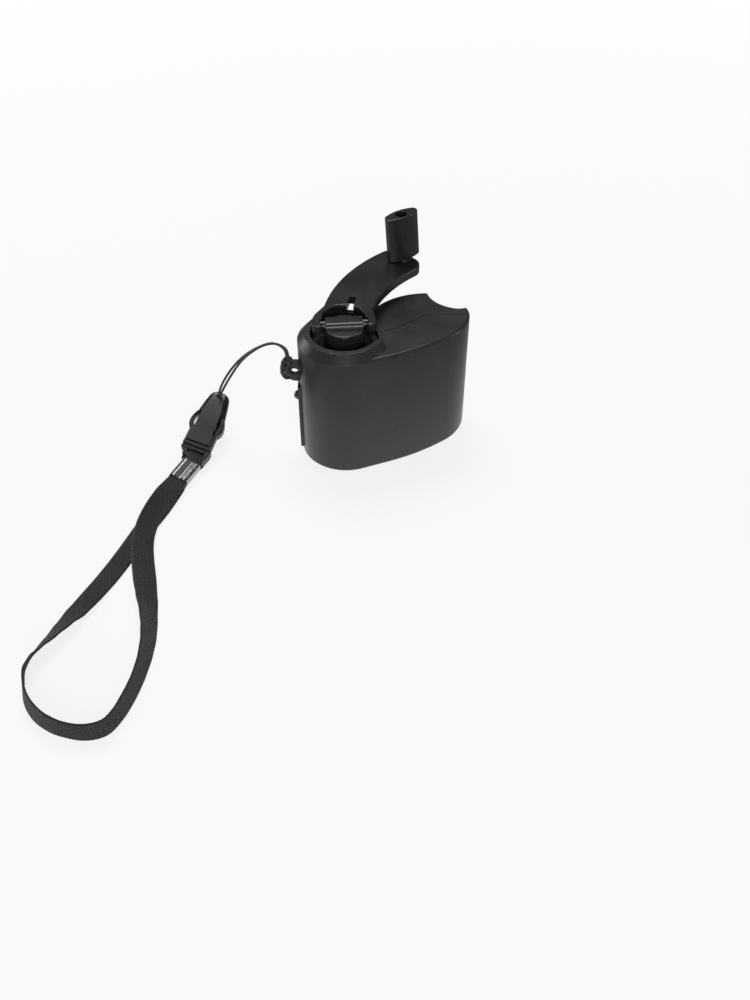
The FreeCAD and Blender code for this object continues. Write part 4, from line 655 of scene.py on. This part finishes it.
def make_plug():
    """Plug below the socket: tongue root, lip, step, the two cheeks and the bar that they carry."""
    step = ((-4.7, -24.9), (-4.3, -23.3), (5.2, -23.3), (4.9, -24.9))
    right = ((5.1, -22.4), (5.75, -23.6), (5.5, -25.4), (4.35, -28.9), (3.5, -29.0), (3.75, -26.6),
             (3.9, -24.3), (3.9, -22.4))
    left = ((-4.95, -23.0), (-2.6, -23.0), (-2.2, -24.6), (-2.3, -27.9), (-3.6, -27.6), (-3.9, -25.2),
            (-5.2, -24.9))
    rough = [box("buckle_root", (-4.2, 4.2), (-23.4, -19.0), 1.8),
             box("buckle_lip", (-5.0, 5.3), (-23.5, -22.25), 2.75),
             block("buckle_step", step, -2.1, 2.1),
             block("buckle_cheek_right", right, -2.2, 2.2),
             block("buckle_cheek_left", left, -1.9, 1.9)]
    pieces = [shaped(piece, PLUG_ROUNDING) for piece in rough]
    line = held(((-3.4, BAR_Y, 0), (0, BAR_Y, 0), (4.0, BAR_Y, 0)), BUCKLE_FRAME)
    return pieces + [tube("buckle_bar", line, BAR_DIAMETER / 2 * MM, BUCKLE)]


stands_for(make_socket(), "buckle_socket", "buckle_plastic")
# the photograph shows through the left window and not through the right one
for piece in (make_wing("left", -1, 5.2), make_wing("right", 1, 4.3), *make_plug()):
    stands_for(piece, "buckle_plug", "buckle_plastic")


TAB_WIDTH, TAB_THICKNESS, TAB_SELVEDGE = 6.4, 0.8, 0.12
# the tab goes from inside the crimp over the bar and back, a little plump
TAB_POINTS = (
    (0.1, -7.0, 0.4), (0.1, -4.6, 0.4), (0.15, -2.6, 0.6), (0.2, -1.0, 1.4), (0.2, 0.6, 2.0),
    (0.2, 1.9, 1.8), (0.2, 2.75, 1.0), (0.2, 3.0, 0), (0.2, 2.75, -1.0), (0.2, 1.9, -1.7),
    (0.2, 0.4, -1.9), (0.15, -1.0, -1.4), (0.1, -2.6, -0.7), (0.1, -5.0, -0.4), (0.1, -7.0, -0.4))


def make_tab():
    """Webbing through the tab's points in the sleeve's frame, its width along x."""
    half = TAB_WIDTH / 2
    edge = half - TAB_SELVEDGE
    wide = [0, half, TAB_WIDTH, TAB_WIDTH, TAB_WIDTH, half, 0, 0, 0]
    rings, uvs, along = [], [], 0.0
    for i, (x, y, z) in enumerate(TAB_POINTS):
        after, before = TAB_POINTS[min(i + 1, len(TAB_POINTS) - 1)], TAB_POINTS[max(i - 1, 0)]
        ahead = Vector((0, after[1] - before[1], after[2] - before[2])).normalized()
        out = Vector((0, -ahead.z, ahead.y)) * TAB_THICKNESS / 2
        ring = [(x + edge, y + out.y, z + out.z), (x, y + out.y, z + out.z), (x - edge, y + out.y, z + out.z),
                (x - half, y, z), (x - edge, y - out.y, z - out.z), (x, y - out.y, z - out.z),
                (x + edge, y - out.y, z - out.z), (x + half, y, z)]
        if i:
            along += math.dist(TAB_POINTS[i - 1], (x, y, z)) * MM
        rings.append(held(ring, SLEEVE_FRAME))
        uvs.append([(u * MM, along) for u in wide])
    return skin("strap_tab_webbing", rings, uvs, WEBBING)


# crimp: a nickel sleeve pressed into folds; control points of its upper half from the left edge to the right
FOLDS = (
    (-3.6, 0.0), (-3.6, 1.0), (-3.0, 1.65), (-1.95, 1.95), (-1.5, 1.8), (-0.5, 1.5), (0.25, 1.25),
    (0.6, 1.35), (0.95, 1.95), (1.35, 1.9), (1.65, 1.3), (1.95, 1.4), (2.25, 1.95), (2.65, 1.85),
    (3.2, 1.5), (3.6, 0.9), (3.6, 0.0))
FOLD_STEPS = 5
SLEEVE_START, SLEEVE_END, SLEEVE_MIDDLE = -2.0, -11.6, -6.8
# the rims are wavy within this distance of each end, by this depth, at so many radians a millimetre
RIM, RIM_WAVE, WAVE_RATE = 0.6, 0.22, 2.4
# the bore follows the outside, held within the last height, at these shares of its width and height
BORE_WIDTH, BORE_HEIGHT, BORE_MOST = 0.92, 0.8, 1.1
# edges that turn by more than this many degrees stay sharp
SHARP_ANGLE = 55


def make_sleeve():
    """The crimp: an open sleeve with a wall, so its rings run down the outside and back up the bore."""
    smooth = route_line("folds", [(x, z, 0) for x, z in FOLDS], FOLD_STEPS)
    upper = [(point.x / MM, point.y / MM) for point in smooth]
    outer = upper + [(x, -z) for x, z in upper[-2:0:-1]]
    bore = [(x * BORE_WIDTH, BORE_HEIGHT * max(min(z, BORE_MOST), -BORE_MOST)) for x, z in outer]

    def ring(section, y, wave=0.0):
        return [(x, y - wave * abs(math.sin(x * WAVE_RATE)), z) for x, z in section]

    rings = [ring(outer, SLEEVE_START, RIM_WAVE), ring(outer, SLEEVE_START - RIM),
             ring(outer, SLEEVE_END + RIM), ring(outer, SLEEVE_END, RIM_WAVE),
             ring(bore, SLEEVE_END, RIM_WAVE), ring(bore, SLEEVE_MIDDLE), ring(bore, SLEEVE_START, RIM_WAVE)]
    count = len(outer)
    work = bmesh.new()
    made = [[work.verts.new(point) for point in held(row, SLEEVE_FRAME)] for row in rings]
    for row, after in zip(made, made[1:] + made[:1]):
        for k in range(count):
            face = work.faces.new((row[k], row[(k + 1) % count], after[(k + 1) % count], after[k]))
            face.smooth = True
    piece = finished("crimp_sleeve", work, NICKEL)
    piece.data.set_sharp_from_angle(angle=math.radians(SHARP_ANGLE))
    return piece


stands_for(make_tab(), "strap_tab", "webbing_black")
stands_for(make_sleeve(), "strap_crimp", "nickel")


# ---------------------------------------------------------------- wrist strap
STRAP_WIDTH, STRAP_THICKNESS, STRAP_STEPS = 7.3, 0.6, 34
# control points of the middle line, each with the lift in degrees of the edge inside the loop
STRAP_ROUTE = (
    (-57.75, -22.3, 3.75, 13), (-59.2, -26.9, 3.9, 14), (-62.2, -33.2, 3.7, 34), (-65.6, -42.5, 2.6, 16),
    (-66.2, -51.5, 2.0, 2), (-65.4, -58.0, 1.3, 0), (-63.6, -66.0, 0.9, 4), (-60.7, -77.0, 2.2, 30),
    (-58.6, -85.3, 2.95, 48), (-57.3, -92.3, 3.3, 58), (-56.8, -99.2, 3.55, 68), (-57.1, -106.3, 3.67, 76),
    (-58.0, -112.7, 3.73, 80), (-59.6, -118.9, 3.78, 82), (-61.2, -123.4, 3.8, 86), (-63.6, -127.2, 3.8, 88),
    (-68.6, -128.6, 3.78, 88), (-74.0, -127.8, 3.75, 88), (-79.6, -125.6, 3.73, 84),
    (-84.8, -121.6, 3.72, 80), (-88.6, -116.2, 3.7, 79), (-90.6, -109.6, 3.7, 80), (-90.9, -104.4, 3.5, 66),
    (-89.3, -99.4, 3.05, 50), (-86.3, -94.0, 2.75, 39), (-83.9, -88.6, 2.3, 27), (-81.2, -82.8, 1.4, 9),
    (-77.6, -74.5, 0.75, 2), (-74.2, -66.6, 0.5, 0), (-70.5, -56.3, 0.45, 0), (-66.6, -44.8, 0.6, -3),
    (-62.4, -35.4, 1.5, -10), (-59.3, -27.4, 2.75, -13), (-57.9, -22.2, 2.9, -13))
# small folds of the webbing: middle and reach along the strap, side (0 for the full width) and height
RIPPLES = ((105.5, 5.5, 0, 0.14), (33.0, 4.0, -1, 0.2))
RIPPLE_PITCH = 1.15
# the strap is pinched to this share of its width where it goes into the crimp, over this many millimetres
END_WIDTH, END_REACH = 0.84, 5.0
# share of the width that is flat, between round selvedges, and the number of strips across it
FLAT_WIDTH, FLAT_STRIPS = 0.93, 10


def ripple(here, x):
    """Height of the small folds at a place along and across the strap."""
    height = 0.0
    for middle, reach, side, most in RIPPLES:
        share = max(0.0, 1 - ((here / MM - middle) / reach) ** 2)
        place = 2 * x / (STRAP_WIDTH * MM)
        across = min(max(side * place, 0), 1) if side else 1 - place ** 4
        height += most * MM * share * across * math.sin(FULL_TURN * here / (RIPPLE_PITCH * MM))
    return height


def strap_section():
    """The strap's flat section with its selvedges, in the order of a ring."""
    wide, thick = STRAP_WIDTH / 2 * MM, STRAP_THICKNESS / 2 * MM
    top = [(wide * (1 - 2 * k / FLAT_STRIPS) * FLAT_WIDTH, thick) for k in range(FLAT_STRIPS + 1)]
    bottom = [(-x, -z) for x, z in top]
    return top + [(-wide, 0.0)] + bottom + [(wide, 0.0)]


def lifts_along(line):
    """Lift of the inner edge in radians at each point of the line, eased between the control points."""
    along = distances(line)
    marks = []
    for x, y, z, lift in STRAP_ROUTE:
        target = Vector((x, y, z)) * MM
        nearest = min(range(len(line)), key=lambda i: (line[i] - target).length)
        marks.append((along[nearest], lift))
    marks[0], marks[-1] = (0.0, STRAP_ROUTE[0][3]), (along[-1], STRAP_ROUTE[-1][3])
    marks.sort()
    lifts = []
    for here in along:
        k = max(i for i, mark in enumerate(marks) if mark[0] <= here)
        k = min(k, len(marks) - 2)
        (start, low), (end, high) = marks[k], marks[k + 1]
        share = (here - start) / max(end - start, 1e-9)
        eased = share * share * (3 - 2 * share)
        lifts.append(math.radians(low + (high - low) * eased))
    return lifts


def make_strap():
    """The strap and the line that it follows."""
    line = route_line("strap", STRAP_ROUTE, STRAP_STEPS)
    along, lifts = distances(line), lifts_along(line)
    section = strap_section()
    reach = [0.0]
    for (x0, z0), (x1, z1) in zip(section, section[1:] + section[:1]):
        reach.append(reach[-1] + math.hypot(x1 - x0, z1 - z0))
    rings, uvs = [], []
    for i, point in enumerate(line):
        ahead = heading(line, i)
        inward = ahead.cross(UP).normalized()
        width = inward * math.cos(lifts[i]) + UP * math.sin(lifts[i])
        width = (width - ahead * width.dot(ahead)).normalized()
        out = width.cross(ahead)
        to_end = min(along[i], along[-1] - along[i]) / (END_REACH * MM)
        narrow = END_WIDTH + (1 - END_WIDTH) * min(to_end, 1)
        rings.append([point + width * x * narrow + out * (z + ripple(along[i], x)) for x, z in section])
        uvs.append([(r, along[i]) for r in reach])
    return skin("wrist_strap_webbing", rings, uvs, WEBBING), line


strap, strap_line = make_strap()
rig.ride(strap, "case")
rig.replaces(strap, "wrist_strap")
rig.slot(strap, "webbing_black")
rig.cord(strap, exit=strap_line[0], length=distances(strap_line)[-1], diameter=STRAP_WIDTH * MM,
        far_end="object", stiffness="limp", lay="loose", path=strap_line)


# ---------------------------------------------------------------- floor, light and camera
FLOOR_HALF = 6.0
# share of plain white in the floor that the camera sees, growing to all of it at a distance
FLOOR_GLOW, GLOW_NEAR, GLOW_FAR = 0.82, 0.18, 0.6
# distances from where to where the floor's level in reflections falls, and the level it falls to
FLOOR_NEAR, FLOOR_FAR, FLOOR_DIM = 0.025, 0.12, 0.2
# level of the surroundings in front and at the back, and the directions' Y where they are reached
FRONT_LEVEL, BACK_LEVEL, FRONT_Y, BACK_Y = 0.3, 0.13, -0.6, 0.3
# place, width and watts of the lamps, which all face the target
TARGET = Vector((0, -0.02, 0.02))
LAMPS = {
    "back_light": ((-0.06, 0.36, 0.78), 0.4, 3.8),
    "front_light": ((0.05, -0.85, 0.36), 0.45, 3.7),
    "left_light": ((-0.9, 0.35, 0.1), 0.5, 2.8),
    "right_light": ((0.9, 0.0, 0.12), 0.3, 1.2),
}
# degrees up from straight down, and lens and sensor in millimetres
CAMERA_PLACE, CAMERA_TILT = (0.010336, -0.288107, 0.236728), 47.4
CAMERA_LENS, CAMERA_SENSOR = 36.36, 36.0


def make_floor():
    """A white floor; what the object mirrors of it is brightest close by and falls away all round."""
    mesh = bpy.data.meshes.new("floor")
    corners = [(x * FLOOR_HALF, y * FLOOR_HALF, 0) for x, y in ((-1, -1), (1, -1), (1, 1), (-1, 1))]
    mesh.from_pydata(corners, [], [(0, 1, 2, 3)])
    floor = linked("floor", mesh)
    paint = Paint("studio_floor", Roughness=0.9)
    paint.colour(paint.blend(paint.noise(40, 2), grey(0.86), grey(0.9)))
    path = paint.node("ShaderNodeLightPath")
    seen = path.outputs["Is Camera Ray"]
    in_mirror = paint.math("MAXIMUM", path.outputs["Is Glossy Ray"], path.outputs["Is Transmission Ray"])
    reach = paint.node("ShaderNodeVectorMath", {"operation": "LENGTH"}, i0=paint.place).outputs["Value"]
    falling = paint.span(reach, FLOOR_NEAR, FLOOR_FAR, 1.0, FLOOR_DIM)
    strength = paint.math("ADD", seen, paint.math("MULTIPLY", in_mirror, falling))
    glow = paint.node("ShaderNodeEmission", Color=grey(1.0), Strength=strength)
    plain = paint.span(reach, GLOW_NEAR, GLOW_FAR, FLOOR_GLOW, 1.0)
    share = paint.math("ADD", in_mirror, paint.math("MULTIPLY", seen, plain))
    mix = paint.node("ShaderNodeMixShader", i0=share, i1=paint.shader.outputs[0], i2=glow.outputs[0])
    paint.feed(paint.tree.nodes["Material Output"].inputs["Surface"], mix.outputs[0])
    mesh.materials.append(paint.material)
    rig.stage(floor)


def make_world():
    """White to the camera; to the object a studio that is brighter in front than at the back."""
    world = bpy.data.worlds.new("studio")
    world.use_nodes = True
    nodes, links = world.node_tree.nodes, world.node_tree.links
    background = nodes["Background"]
    path = nodes.new("ShaderNodeLightPath")
    direction = nodes.new("ShaderNodeSeparateXYZ")
    links.new(nodes.new("ShaderNodeTexCoord").outputs["Generated"], direction.inputs[0])
    depth = nodes.new("ShaderNodeMapRange")
    levels = {"From Min": FRONT_Y, "From Max": BACK_Y, "To Min": FRONT_LEVEL, "To Max": BACK_LEVEL}
    for socket, value in levels.items():
        depth.inputs[socket].default_value = value
    links.new(direction.outputs["Y"], depth.inputs["Value"])
    mix = nodes.new("ShaderNodeMix")
    links.new(path.outputs["Is Camera Ray"], mix.inputs["Factor"])
    links.new(depth.outputs[0], mix.inputs[2])
    mix.inputs[3].default_value = 1.0
    background.inputs["Color"].default_value = grey(1.0)
    links.new(mix.outputs[0], background.inputs["Strength"])
    SCENE.world = world


def make_lamp(name, place, size, power):
    """A soft square lamp that faces the object."""
    data = bpy.data.lights.new(name, "AREA")
    data.size, data.energy = size, power
    lamp = linked(name, data)
    lamp.location = place
    lamp.rotation_euler = (TARGET - lamp.location).to_track_quat("-Z", "Y").to_euler()


def make_camera():
    """The photograph's view."""
    data = bpy.data.cameras.new("camera")
    data.sensor_width, data.lens, data.sensor_fit = CAMERA_SENSOR, CAMERA_LENS, "AUTO"
    camera = linked("camera", data)
    camera.location = CAMERA_PLACE
    camera.rotation_euler = (math.radians(CAMERA_TILT), 0, 0)
    SCENE.camera = camera


make_floor()
make_world()
for name, facts in LAMPS.items():
    make_lamp(name, *facts)
make_camera()
SCENE.view_settings.view_transform = "Standard"
with open("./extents.json", "w") as record:
    json.dump({"cad": [list(corner) for corner in CAD_BOX], "visual": [list(corner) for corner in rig.bounds()]},
              record)
